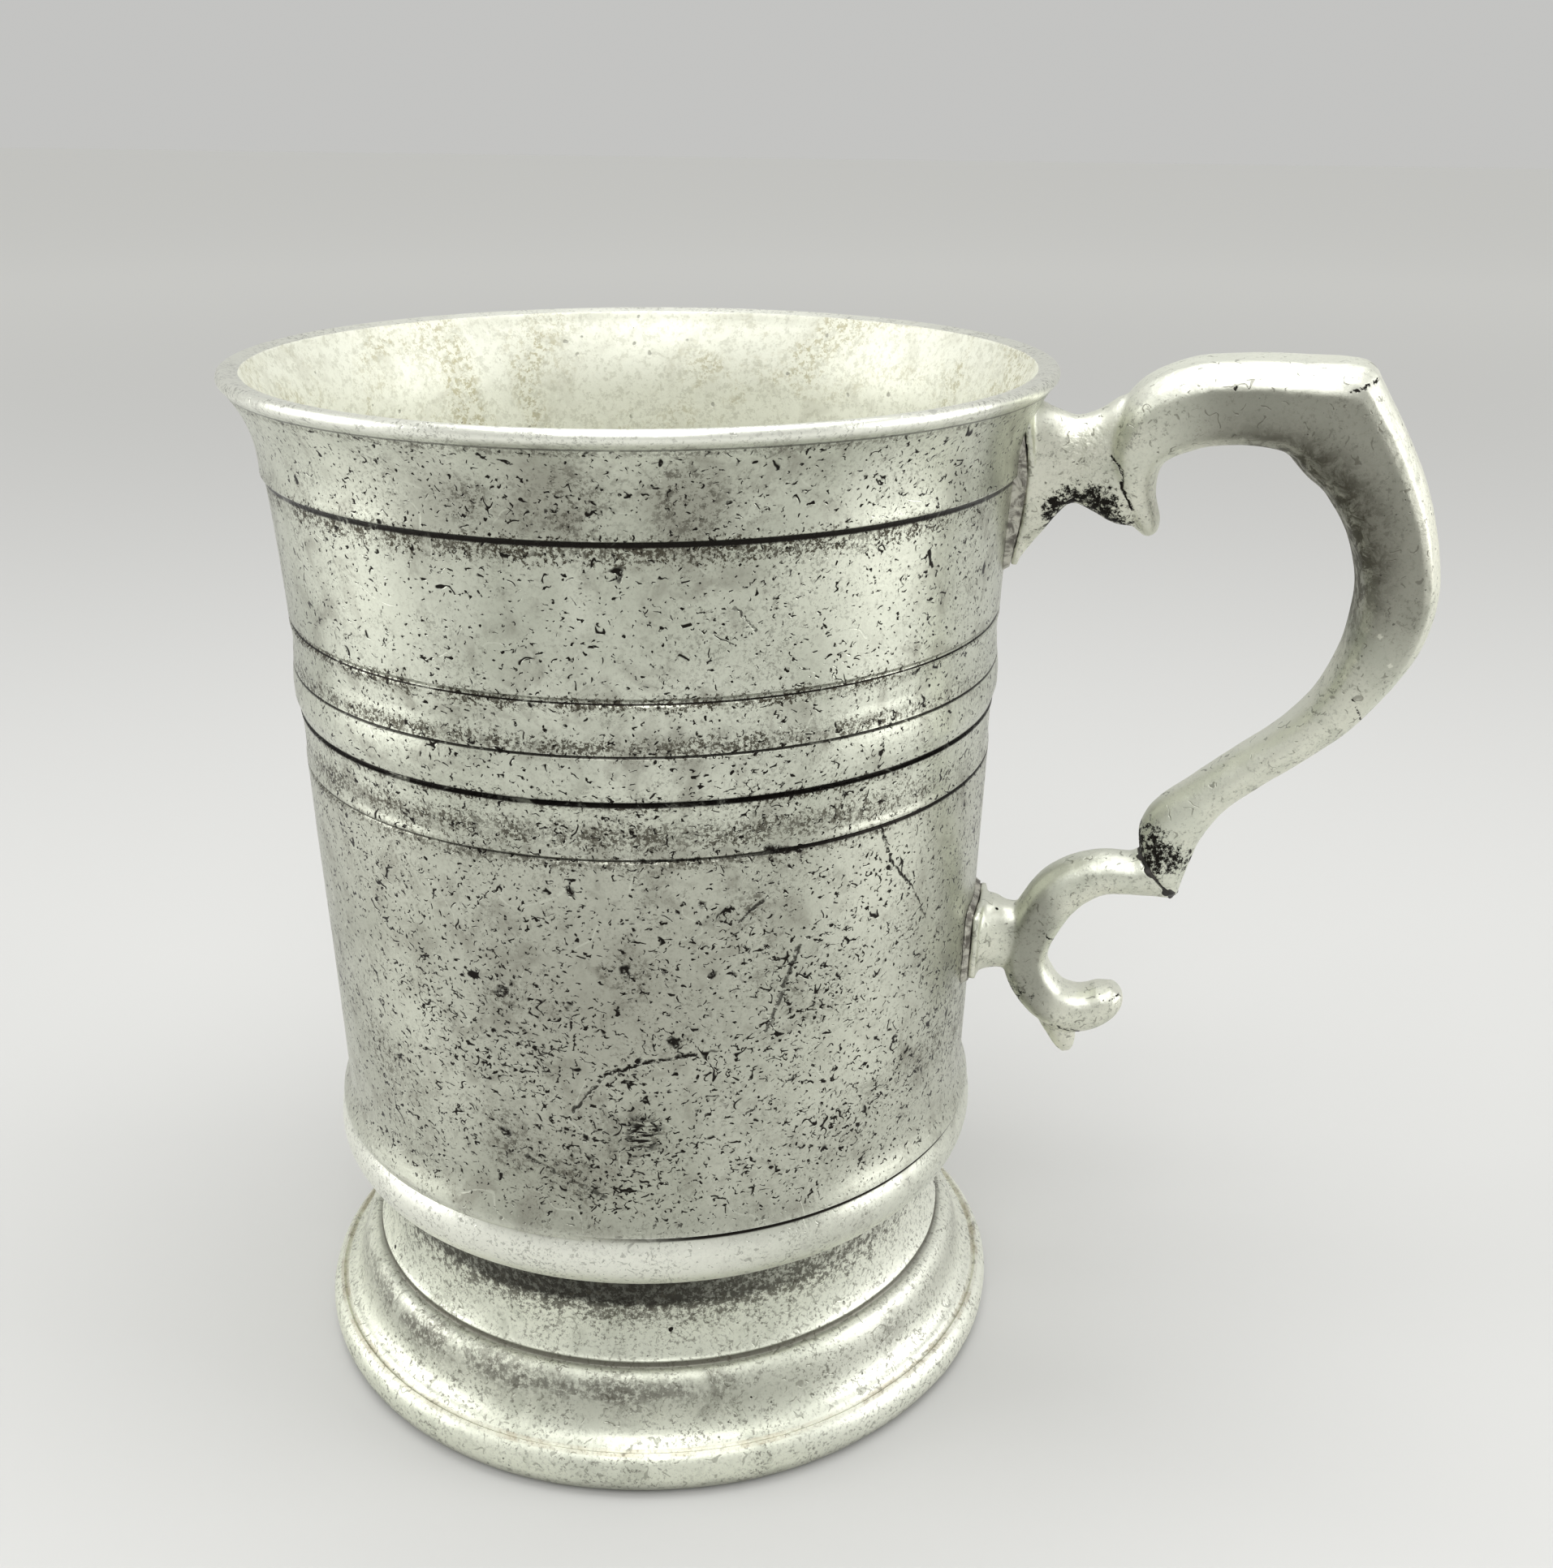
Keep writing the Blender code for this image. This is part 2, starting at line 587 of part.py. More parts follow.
def make_lower_scroll(material):
    base_x = barrel_surface(LOWER_SEAT_Z)
    centre, normal, axis = joint_frame()
    start = centre - normal * (JOINT_SOLDER / 2 + GAP)
    stations = [(base_x + out * MM, LOWER_SEAT_Z + up * MM, thickness * MM, width * MM)
                for out, up, thickness, width in LOWER_SPINE[::-1]]
    stations.append((start.x, start.z, JOINT_LENGTH, JOINT_WIDTH))
    rod = solid("lower_scroll", skin(sweep(stations, LOWER_SQUARENESS, end_axis=axis)), material)
    plate, strut = seated_strut("lower_scroll", LOWER_SEAT, lower_bed_front, LOWER_STRUT, material)
    drop = [(base_x + out * MM, LOWER_SEAT_Z + up * MM, size * MM, size * MM) for out, up, size in DROP_SPINE]
    point = solid("lower_scroll_drop", skin(sweep(drop, DROP_SQUARENESS, steps=1)), material)
    weld(rod, strut, plate, point)
    return rod


def make_joint_solder(material):
    """The disc of solder between the two scrolls, which stands out a little all round."""
    centre, normal, axis = joint_frame()
    length = JOINT_LENGTH + 2 * JOINT_COLLAR
    width = JOINT_WIDTH + 2 * JOINT_COLLAR
    faces = [centre + normal * (side * JOINT_SOLDER / 2) for side in (-1, 1)]
    return solid("joint_solder", skin([section(at, axis, length, width, STRUT_SQUARENESS) for at in faces]),
                 material)


def make_axis():
    """The empty on the barrel's axis, placed so that the origin is under the middle of the whole mug."""
    farthest = max(out + thickness / 2 for out, _, thickness, _ in MAIN_SPINE)
    reach = barrel_surface(UPPER_SEAT_Z) + farthest * MM
    axis = bpy.data.objects.new("mug_axis", None)
    bpy.context.scene.collection.objects.link(axis)
    axis.location.x = (RIM_RADIUS - reach) / 2


def main():
    clear_scene()
    make_axis()
    drum_metal = pewter("pewter_drum", PEWTER, 0.30)
    foot_metal = pewter("pewter_foot", PEWTER_FOOT, 0.42)
    handle_metal = pewter("pewter_handle", PEWTER_HANDLE, 0.30)
    solder = pewter("solder", SOLDER, 0.50, 0.85)
    black = pewter("solder_black", SOLDER_BLACK, 0.75, 0.40)
    turn("drum", drum_outside() + drum_inside(), drum_metal)
    make_floor(drum_metal)
    turn("foot", foot_outline(), foot_metal)
    turn("foot_solder_bead", bead_outline(), solder)
    make_main_scroll(handle_metal)
    make_lower_scroll(handle_metal)
    bed_back = beyond(barrel_surface, GAP)
    solid("upper_solder_bed", seat_pad(UPPER_SEAT, bed_back, upper_bed_front), solder)
    solid("lower_solder_bed", seat_pad(LOWER_SEAT, bed_back, lower_bed_front), solder)
    make_joint_solder(black)


main()
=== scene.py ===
"""Looks of an aged pewter mug: turned barrel and foot, cast double scroll handle, and pale studio light.

The CAD frame is in metres. Shapes here are drawn in millimetres round the barrel's own axis, with
+X towards the handle and +Z up, and moved to the frame when a piece is made.
"""
import math

import bmesh
import bpy
import numpy as np
from mathutils import Matrix, Vector, noise


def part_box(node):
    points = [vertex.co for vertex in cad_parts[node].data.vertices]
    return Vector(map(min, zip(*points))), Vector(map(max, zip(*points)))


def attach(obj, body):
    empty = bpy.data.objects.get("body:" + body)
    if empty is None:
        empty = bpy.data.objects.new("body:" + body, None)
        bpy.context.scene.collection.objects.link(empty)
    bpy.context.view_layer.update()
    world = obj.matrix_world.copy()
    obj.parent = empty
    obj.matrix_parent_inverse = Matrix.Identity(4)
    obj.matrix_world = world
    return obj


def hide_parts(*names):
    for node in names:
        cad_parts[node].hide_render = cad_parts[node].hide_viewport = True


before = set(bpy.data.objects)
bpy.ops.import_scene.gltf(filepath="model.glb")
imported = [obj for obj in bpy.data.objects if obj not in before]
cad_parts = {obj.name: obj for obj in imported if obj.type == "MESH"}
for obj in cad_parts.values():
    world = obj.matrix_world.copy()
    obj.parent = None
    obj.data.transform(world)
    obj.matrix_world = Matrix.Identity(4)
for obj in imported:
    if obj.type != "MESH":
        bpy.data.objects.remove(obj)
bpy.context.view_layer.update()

MM = 0.001
DRUM_LOW, DRUM_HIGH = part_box("drum")
AXIS = Vector(((DRUM_LOW.x + DRUM_HIGH.x) / 2, 0.0, 0.0))

# Sizes in millimetres, as the solids have them
RIM_RADIUS = (DRUM_HIGH.x - DRUM_LOW.x) / 2 / MM
MUG_HEIGHT = DRUM_HIGH.z / MM
DRUM_BOTTOM = DRUM_LOW.z / MM
FOOT_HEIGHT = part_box("foot")[1].z / MM
FOOT_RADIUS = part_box("foot")[1].y / MM
WALL = 1.8
LIP_WIDTH = 2.6
LIP_ROUND = 0.8
LIP_FALL = 0.35
BAND_FOOT = MUG_HEIGHT - 11.9
BAND_RADIUS = RIM_RADIUS - 4.0
BAND_HOLLOW = 1.1
BAND_STEP = 0.45
UPPER_WALL_RADIUS = BAND_RADIUS - 1.7
LOWER_WALL_RADIUS = UPPER_WALL_RADIUS - 2.2
BULGE_RADIUS = LOWER_WALL_RADIUS + 1.4
BULGE_TOP = DRUM_BOTTOM + 7.9
BULGE_CREST = BULGE_TOP - 3.0
WALL_FOOT = BULGE_TOP + 4.7
TAPER_TOP = MUG_HEIGHT - 29.3
NECK_RADIUS = LOWER_WALL_RADIUS - 4.2
BASE_HOLE_RADIUS = NECK_RADIUS - 4.0
BASE_THICKNESS = 1.7

HOOP_LINE = 96.9
MIDDLE_LINE = 91.4
LOW_LINE = 84.7
# Turned lines round the barrel: height, depth, width
TURNED_LINES = (
    (130.1, 0.12, 0.35),
    (103.0, 0.30, 0.90),
    (HOOP_LINE, 0.16, 0.40),
    (MIDDLE_LINE, 0.42, 0.60),
    (LOW_LINE, 0.26, 0.60),
    (BULGE_TOP, 0.55, 0.80),
)
# Heights where the raised hoop and the hollows beside it start, are full, fall off and end
HOOP = (91.7, 93.4, 94.6, 98.6)
HOOP_SWELL = 0.42
HOLLOW = (98.6, 100.0, 101.5, 102.6)
HOLLOW_DEPTH = 0.15
RECESS = (85.2, 86.0, 90.2, 91.0)
RECESS_DEPTH = 0.17
WEAR_SIDE = (math.cos(math.radians(-135)), math.sin(math.radians(-135)))

TURNED_SEGMENTS = 384
OUTLINE_STEP = 1.4
SHARP_ANGLE = math.radians(38)


# Shader nodes: values and positions add them to their tree as they are combined

class Output:
    """What a shader node gives, and the tree that the node is in."""

    def __init__(self, tree, socket):
        self.tree = tree
        self.socket = socket


def feed(tree, socket, value):
    """Links an input to another node's output, or sets it to a plain value."""
    if isinstance(value, Output):
        tree.links.new(value.socket, socket)
    else:
        socket.default_value = value


def add_node(tree, kind, inputs=None, **settings):
    made = tree.nodes.new("ShaderNode" + kind)
    for key, value in settings.items():
        setattr(made, key, value)
    for key, value in (inputs or {}).items():
        feed(tree, made.inputs[key], value)
    return made


class Value(Output):
    """A number that differs from place to place."""

    def math(self, operation, second=0.0, clamp=False):
        made = add_node(self.tree, "Math", {0: self, 1: second}, operation=operation, use_clamp=clamp)
        return Value(self.tree, made.outputs[0])

    def __add__(self, other):
        return self.math('ADD', other)

    def __sub__(self, other):
        return self.math('SUBTRACT', other)

    def __mul__(self, other):
        return self.math('MULTIPLY', other)

    def __abs__(self):
        return self.math('ABSOLUTE')

    def fade(self, start, end, low=0.0, high=1.0):
        """Low before start and high past end, with a soft change between; start may lie above end."""
        inputs = {"Value": self, "From Min": start, "From Max": end, "To Min": low, "To Max": high}
        made = add_node(self.tree, "MapRange", inputs, interpolation_type='SMOOTHSTEP')
        return Value(self.tree, made.outputs[0])

    def band(self, centre, half):
        """One at the centre and none half a width away."""
        return abs(self - centre).fade(half, 0.0)

    def stripe(self, centre, half):
        """One over the middle of a line, with crisp edges."""
        return abs(self - centre).fade(half, 0.5 * half)


def most(*values):
    """The largest of several values."""
    found = values[0]
    for value in values[1:]:
        found = found.math('MAXIMUM', value)
    return found


def painted(colour, *coats):
    """A colour with coats laid over it in turn: how much of a coat shows, and its colour."""
    for share, coat in coats:
        made = add_node(share.tree, "Mix", {0: share, 6: colour, 7: coat}, data_type='RGBA')
        colour = Output(share.tree, made.outputs[2])
    return colour


class Place(Output):
    """A position on the surface."""

    def joined(self, operation, second, key=1):
        """Another position, from this one and a second one or a scale."""
        made = add_node(self.tree, "VectorMath", {0: self, key: second}, operation=operation)
        return Place(self.tree, made.outputs["Vector"])

    def measured(self, operation, second):
        """A number, from this position and a second one."""
        made = add_node(self.tree, "VectorMath", {0: self, 1: second}, operation=operation)
        return Value(self.tree, made.outputs["Value"])

    def apart(self):
        """The x, y and z of the position."""
        parts = add_node(self.tree, "SeparateXYZ", {0: self}).outputs
        return [Value(self.tree, part) for part in parts]

    def stretch(self, scale):
        return self.joined('MULTIPLY', scale)

    def shift(self, size, amount):
        """The position, pushed about by a cloudy vector."""
        made = add_node(self.tree, "TexNoise", {"Vector": self, "Scale": 1 / size, "Detail": 2.0})
        centred = Place(self.tree, made.outputs["Color"]).joined('SUBTRACT', (0.5, 0.5, 0.5))
        return self.joined('ADD', centred.joined('SCALE', amount, "Scale"))

    def noise(self, size, detail=2.0, rough=0.5, warp=0.0):
        """A cloudy value round 0.5 whose lumps are about that size."""
        inputs = {"Vector": self, "Scale": 1 / size, "Detail": detail, "Roughness": rough,
                  "Distortion": warp}
        return Value(self.tree, add_node(self.tree, "TexNoise", inputs).outputs["Fac"])

    def from_point(self, point):
        return self.measured('DISTANCE', point)

    def from_line(self, start, end):
        """How far the position lies from a straight line between two points."""
        run = Vector(end) - Vector(start)
        away = self.joined('SUBTRACT', start)
        share = away.measured('DOT_PRODUCT', run).math('DIVIDE', run.dot(run), clamp=True)
        nearest = add_node(self.tree, "VectorMath", {0: run, "Scale": share}, operation='SCALE')
        return away.measured('DISTANCE', Output(self.tree, nearest.outputs["Vector"]))

    def past(self, point, direction):
        """How far the position lies beyond a plane through the point."""
        return self.joined('SUBTRACT', point).measured('DOT_PRODUCT', direction)

    def pits(self, spacing, share, size):
        """Small round pits: share of the cells that hold one, and the largest one's radius in cells."""
        cells = add_node(self.tree, "TexVoronoi", {"Vector": self, "Scale": 1 / spacing, "Randomness": 1.0})
        hue = Output(self.tree, cells.outputs["Color"])
        draws = add_node(self.tree, "SeparateColor", {0: hue}).outputs
        chance, growth = (Value(self.tree, draws[i]) for i in range(2))
        radius = (growth * growth + 0.25) * size
        inside = Value(self.tree, cells.outputs["Distance"]).fade(radius, radius * 0.55)
        return inside * chance.math('LESS_THAN', share)

    def threads(self, size, width, above):
        """Thin curved lines, left only where a second cloud rises above a value."""
        half = 0.6 * width / size
        line = abs(self.noise(size, 1.0) - 0.5).fade(half, 0.3 * half)
        second = self.joined('ADD', (31.0, 17.0, 5.0)).noise(0.55 * size, 0.0)
        return line * second.fade(above, above + 0.03)


def coordinates(tree, kind):
    return Place(tree, add_node(tree, "TexCoord").outputs[kind])


def edge_sharpness(tree):
    """About a half on flat metal, more on its edges and less in its hollows."""
    return Value(tree, add_node(tree, "NewGeometry").outputs["Pointiness"])


def start_material(name, metallic):
    """A metal, and the position on it in millimetres from the foot of the barrel's axis."""
    material = bpy.data.materials.new(name)
    material.use_nodes = True
    tree = material.node_tree
    tree.nodes["Principled BSDF"].inputs["Metallic"].default_value = metallic
    size = 1 / MM
    inputs = {"Vector": coordinates(tree, "Object"), "Location": -AXIS * size, "Scale": (size, size, size)}
    return material, Place(tree, add_node(tree, "Mapping", inputs).outputs[0])


def finish_material(material, colour, roughness, height):
    """Feeds the shader; height is in millimetres."""
    tree = material.node_tree
    bump = add_node(tree, "Bump", {"Strength": 1.0, "Distance": MM, "Height": height})
    inputs = tree.nodes["Principled BSDF"].inputs
    feed(tree, inputs["Base Color"], colour)
    feed(tree, inputs["Roughness"], roughness)
    feed(tree, inputs["Normal"], Output(tree, bump.outputs[0]))
    return material


# Places for marks, in millimetres

def round_axis(azimuth, radius, height):
    """A point by its azimuth in degrees from the handle."""
    angle = math.radians(azimuth)
    return (radius * math.cos(angle), radius * math.sin(angle), height)


def on_barrel(azimuth, height):
    """A point on the plain wall."""
    return round_axis(azimuth, wall_radius(height), height)


def on_slope(azimuth, height):
    """A point about on the slope of the foot."""
    return round_axis(azimuth, EDGE_RADIUS - 0.6 * (height - EDGE_HEIGHT), height)


def on_handle(out, up, across=0.0):
    """A point of the handle, from the upper seat."""
    return (UPPER_BASE + out, across, UPPER_SEAT_Z + up)


def nearness(at, on_surface, places, core):
    """High near each place of a table, and in full within a share of its radius."""
    found = []
    for azimuth, height, radius, *strength in places:
        near = at.from_point(on_surface(azimuth, height)).fade(radius, core * radius)
        found.append(near * strength[0] if strength else near)
    return most(*found)


# Colours, linear
PALE = (0.67, 0.69, 0.59, 1.0)
MID = (0.53, 0.55, 0.46, 1.0)
DULL = (0.30, 0.295, 0.245, 1.0)
SOOT = (0.15, 0.145, 0.12, 1.0)
STAIN = (0.080, 0.073, 0.054, 1.0)
BLACK = (0.014, 0.012, 0.010, 1.0)
CREAM = (0.79, 0.81, 0.69, 1.0)
# Pale: worn edges, and painted highlights on the lip, the bulge, the handle's top faces and the foot's
# handle side
PAINTED_HIGHLIGHT_AND_WEAR = (0.92, 0.93, 0.84, 1.0)
HANDLE_LIGHT = (0.80, 0.80, 0.69, 1.0)
# painted shade on the handle's flanks
FLANK_SHADE_GREY = (0.20, 0.20, 0.165, 1.0)
# brown painted shade along the handle's inner curve
INNER_SHADE_BROWN = (0.050, 0.044, 0.030, 1.0)
TARNISH = (0.46, 0.41, 0.30, 1.0)
INNER_LIGHT = (0.77, 0.78, 0.68, 1.0)
INNER_MIDDLE = (0.60, 0.60, 0.51, 1.0)
INNER_DARK = (0.47, 0.47, 0.38, 1.0)
INNER_TAN = (0.40, 0.37, 0.23, 1.0)
# Solder, light and dark
YELLOW_SOLDER = ((0.50, 0.46, 0.33, 1.0), (0.20, 0.17, 0.11, 1.0))
GREY_SOLDER = ((0.55, 0.54, 0.47, 1.0), (0.16, 0.15, 0.13, 1.0))
BLACK_SOLDER = ((0.05, 0.045, 0.04, 1.0), (0.015, 0.014, 0.012, 1.0))

LOWER_WALL_DULLING = 0.30             # share of the dull colour on the wall under the lines
FLANK_SHADE_SHARE = 0.80             # share of the painted shade grey on the handle's flanks

# Marks of use on the barrel: (azimuth, height) of both ends, width, strength
BARREL_CUTS = (
    ((-39.1, 84.6), (-36.2, 79.5), 0.30, 1.0),
    ((-36.2, 79.5), (-31.0, 75.2), 0.26, 1.0),
    ((-31.0, 75.2), (-26.7, 69.9), 0.22, 0.9),
    ((-58.7, 85.1), (-53.6, 84.4), 0.60, 1.0),
    ((-78.0, 84.8), (-68.8, 84.8), 0.35, 1.0),
    ((-63.9, 113.1), (-60.5, 110.2), 0.26, 0.8),
    ((-53.1, 72.3), (-54.8, 69.0), 0.40, 0.9),
    ((-54.8, 69.0), (-58.2, 62.0), 0.34, 0.8),
    ((-62.9, 76.7), (-58.6, 79.3), 0.28, 0.9),
    ((-88.7, 52.3), (-83.3, 57.6), 0.32, 0.9),
    ((-83.3, 57.6), (-77.1, 59.3), 0.32, 1.0),
    ((-77.1, 59.3), (-69.6, 60.1), 0.38, 1.0),
    ((-96.7, 45.2), (-84.1, 40.7), 0.45, 0.8),
    ((-52.5, 55.6), (-61.3, 51.3), 0.20, 0.8),
)
# Dark corroded places on the barrel: azimuth, height, radius
BARREL_SPOTS = (
    (-79.0, 116.8, 0.9),
    (-87.0, 81.0, 0.8),
    (-98.8, 67.2, 1.0),
    (-79.9, 71.1, 0.9),
    (-72.7, 62.1, 0.9),
    (-73.7, 71.1, 0.6),
    (-66.9, 70.2, 0.6),
    (-63.4, 69.9, 0.6),
    (-68.3, 79.2, 0.7),
    (-100.0, 48.0, 0.9),
    (-86.9, 49.1, 0.6),
    (-50.0, 130.9, 0.5),
    (-87.4, 123.2, 0.7),
    (-77.6, 125.4, 0.8),
)
STREAKY_PATCH = (-77.8, 49.6, 2.9)  # azimuth, height, radius
# Sooty clouds on the barrel: azimuth, height, radius
BARREL_SMEARS = (
    (-98.8, 67.2, 4.0),
    (-79.9, 71.1, 3.5),
    (-100.0, 46.5, 6.5),
    (-89.0, 43.0, 5.0),
    (-78.0, 49.5, 4.5),
    (-72.7, 62.1, 3.0),
    (-55.0, 66.0, 3.5),
    (-62.0, 78.0, 4.0),
    (-127.0, 52.0, 7.0),
    (-22.0, 50.0, 6.0),
    (-99.0, 124.0, 5.0),
    (-84.0, 124.6, 8.0),
    (-70.0, 125.2, 7.0),
)
# Broad duller places on the barrel, a painted dark reflection round its front, and brighter ones, a painted
# bright reflection beside it: azimuth, height, radius, strength
BARREL_DARK_REFLECTIONS = (
    (-84.0, 66.0, 24.0, 0.55),
    (-92.0, 47.0, 15.0, 0.35),
    (-104.0, 124.0, 10.0, 0.55),
    (-88.0, 125.0, 10.0, 0.75),
    (-70.0, 125.0, 9.0, 0.65),
)
BARREL_BRIGHT_REFLECTIONS = (
    (-38.0, 125.0, 12.0, 0.85),
    (-44.0, 114.0, 15.0, 0.95),
    (-40.0, 78.0, 13.0, 0.50),
    (-44.0, 58.0, 14.0, 0.45),
    (-118.0, 112.0, 12.0, 0.45),
    (-116.0, 125.0, 9.0, 0.60),
    (-116.0, 60.0, 13.0, 0.35),
)
# Sooty clouds on the slope of the foot, which also paint the shade under its step: azimuth, height, radius
FOOT_SMEARS_AND_SHADE = (
    (-121.0, 12.0, 8.0),
    (-104.0, 12.4, 6.0),
    (-84.0, 12.2, 5.0),
    (-66.0, 12.4, 5.0),
    (-30.0, 12.0, 6.0),
    (75.0, 11.0, 8.0),
)
# Dark metal in the turned lines, with a painted shadow under the band's step: height, half width, height
# and half width of the dirt, strength
STAINED_AND_SHADED_LINES = (
    (130.2, 0.16, 129.8, 0.7, 0.6),
    # painted shadow: the black line under the band's step stands for the shade beneath it, with dirt in the
    # line
    (BAND_FOOT - 0.3, 0.50, BAND_FOOT - 1.1, 2.9, 1.0),
    (102.8, 0.12, 102.7, 1.9, 1.0),
    (HOOP_LINE, 0.20, 97.9, 2.2, 0.95),
    (MIDDLE_LINE, 0.48, 91.2, 1.5, 1.0),
    (87.5, 0.02, 87.5, 3.3, 0.9),
    (LOW_LINE, 0.14, 84.4, 1.7, 0.8),
)


def tone(at, light, middle, dark):
    """Uneven tarnish: broad clouds, smaller ones inside them and a fine grain."""
    broad = at.noise(26.0, 3.0, 0.55, 0.6)
    small = at.noise(5.0, 4.0, 0.62, 0.6)
    grain = at.noise(0.45, 3.0, 0.7)
    colour = painted(
        light,
        (broad.fade(0.38, 0.62), middle),
        (small.fade(0.48, 0.72, 0.0, 0.7), dark),
        (grain.fade(0.48, 0.78, 0.0, 0.5), dark))
    return colour, small, grain


def pepper(at, size, high, amount):
    """Fine dark speckle, as much of it as the amount says."""
    return at.noise(size, 4.0, 0.8).fade(*high) * amount


def barrel_line_stains_and_shadow(at):
    """The black of the turned lines, with a painted shadow under the band's step, and the sooty dirt beside
    them.
    """
    side, depth, height = at.apart()
    front = depth.fade(-8.0, -34.0, 0.35)
    ragged = at.stretch((1.0, 1.0, 0.5)).noise(4.0, 5.0, 0.7, 0.8)
    speckle = at.noise(0.52, 4.0, 0.8)
    lines = [
        height.stripe(BULGE_TOP, 0.40) * side.fade(2.0, 16.0),
        height.stripe(LOW_LINE, 0.35) * side.fade(12.0, 26.0),
    ]
    stains = []
    for level, half, dirt_level, dirt_half, strength in STAINED_AND_SHADED_LINES:
        lines.append(height.stripe(level, half) * ragged.fade(0.30, 0.44, 0.4) * strength)
        near = height.band(dirt_level, dirt_half) * front
        bound = near * -0.16 + 0.62
        dirt = speckle.fade(bound, bound + 0.045) * near.fade(0.05, 0.3)
        stains.append(dirt * ragged.fade(0.36, 0.54, 0.3) * strength)
    return most(*lines), most(*stains)


def barrel_wear(at):
    """Pits and thin curved nicks, dense on the lower wall, and grime of the same density."""
    side, depth, height = at.apart()
    low = height.fade(101.0, 84.0, 0.16) * height.fade(36.0, 41.0, 0.14)
    band_patch = height.band(124.5, 4.5) * depth.fade(-36.0, -44.0) * 0.6
    patches = at.noise(15.0, 4.0, 0.6, 0.7).fade(0.42, 0.64) * 0.80 + 0.20
    density = most(low, band_patch) * patches * side.fade(-38.0, -12.0, 0.45)
    clean = height.fade(130.6, 129.6, 0.25) * height.fade(35.5, 38.0, 0.35)
    pits = most(
        at.shift(0.9, 1.4).pits(2.8, density * 0.19, 0.15),
        at.shift(0.5, 0.6).pits(0.75, density * 0.20, 0.16) * 0.85)
    rare = density * -0.115 + 0.68
    nicks = most(
        at.shift(0.8, 0.5).threads(0.95, 0.10, rare),
        at.stretch((1.0, 1.0, 1.5)).shift(1.3, 1.0).threads(1.7, 0.14, rare),
        at.shift(4.0, 2.0).threads(3.0, 0.13, rare + 0.03))
    grime = at.noise(9.0, 6.0, 0.8, 1.0).fade(0.52, 0.68) * density
    return pits * clean, nicks * clean, grime


def barrel_damage(at):
    """The long cuts, the corroded spots and one streaky patch."""
    ragged = at.shift(0.9, 1.0)
    cuts = [ragged.from_line(on_barrel(*start), on_barrel(*end)).fade(width, 0.4 * width) * strength
            for start, end, width, strength in BARREL_CUTS]
    loose = at.shift(1.6, 2.4)
    azimuth, height, radius = STREAKY_PATCH
    streaks = at.stretch((0.5, 0.5, 2.2)).noise(1.1, 3.0, 0.6).fade(0.46, 0.52)
    patch = loose.from_point(on_barrel(azimuth, height)).fade(radius, 1.2) * streaks
    broken = at.noise(0.8, 3.0, 0.7).fade(0.36, 0.50)
    return most(most(*cuts, nearness(loose, on_barrel, BARREL_SPOTS, 0.5)) * broken, patch)


def barrel_material():
    """Outside of the barrel: half polished, with stained lines, pits, scratches and a few deep marks, a
    painted shadow under the band, painted reflections in broad places, and painted highlights on the bulge
    and the lip.
    """
    material, at = start_material("pewter_barrel", 0.95)
    side, _, height = at.apart()
    colour, small, grain = tone(at, PALE, MID, DULL)
    edges = edge_sharpness(at.tree)
    turned_lines, dirt = barrel_line_stains_and_shadow(at)
    stain = most(dirt, edges.fade(0.49, 0.43) * 0.7)
    pits, nicks, grime = barrel_wear(at)
    deep = barrel_damage(at)
    hairs = at.shift(12.0, 6.0).threads(9.0, 0.12, 0.56)
    speckle = at.noise(0.9, 5.0, 0.8).fade(0.50, 0.57)
    soot = nearness(at.shift(5.0, 8.0), on_barrel, BARREL_SMEARS, 0.2) * (speckle * 0.75 + 0.12)
    broad = at.shift(12.0, 14.0)
    colour = painted(
        colour,
        (height.fade(90.0, 83.0) * height.fade(33.0, 38.0) * LOWER_WALL_DULLING, DULL),
        # painted reflection: darker round the front of the barrel, lighter beside it
        (nearness(broad, on_barrel, BARREL_DARK_REFLECTIONS, 0.0), DULL),
        (nearness(broad, on_barrel, BARREL_BRIGHT_REFLECTIONS, 0.0), CREAM),
        # painted highlight on the bulge, weaker on the handle side
        (height.fade(36.5, 33.5, 0.0, 0.85) * side.fade(32.0, 12.0, 0.40), PAINTED_HIGHLIGHT_AND_WEAR),
        # painted highlight along the top of the lip
        (height.fade(130.4, 131.2, 0.0, 0.9), PAINTED_HIGHLIGHT_AND_WEAR),
        (hairs * 0.45, PALE),
        (edges.fade(0.52, 0.60) * 0.7, PAINTED_HIGHLIGHT_AND_WEAR),
        (pepper(at, 0.5, (0.52, 0.59), at.noise(7.0, 4.0, 0.7, 0.8).fade(0.42, 0.62, 0.08, 0.55)), SOOT),
        (grime * 0.5, STAIN),
        (most(stain, soot * 0.85), STAIN),
        (most(nicks, pits, deep, turned_lines), BLACK))
    roughness = small * 0.18 + most(stain, grime, soot) * 0.2 + 0.26
    turning = at.stretch((0.02, 0.02, 1.0)).noise(0.45, 3.0)
    relief = turning * 0.008 + small * 0.05 + grain * 0.018
    sunk = pits * 0.12 + nicks * 0.05 + deep * 0.16 + hairs * 0.012
    turned_gloss(material, 0.6)
    return finish_material(material, colour, roughness, relief - sunk)


def turned_gloss(material, amount):
    """Reflections drawn out up and down, across the fine lines that the lathe leaves."""
    tree = material.node_tree
    inputs = tree.nodes["Principled BSDF"].inputs
    inputs["Anisotropic"].default_value = amount
    inputs["Anisotropic Rotation"].default_value = 0.25
    tangent = add_node(tree, "Tangent", direction_type='RADIAL', axis='Z')
    feed(tree, inputs["Tangent"], Output(tree, tangent.outputs[0]))


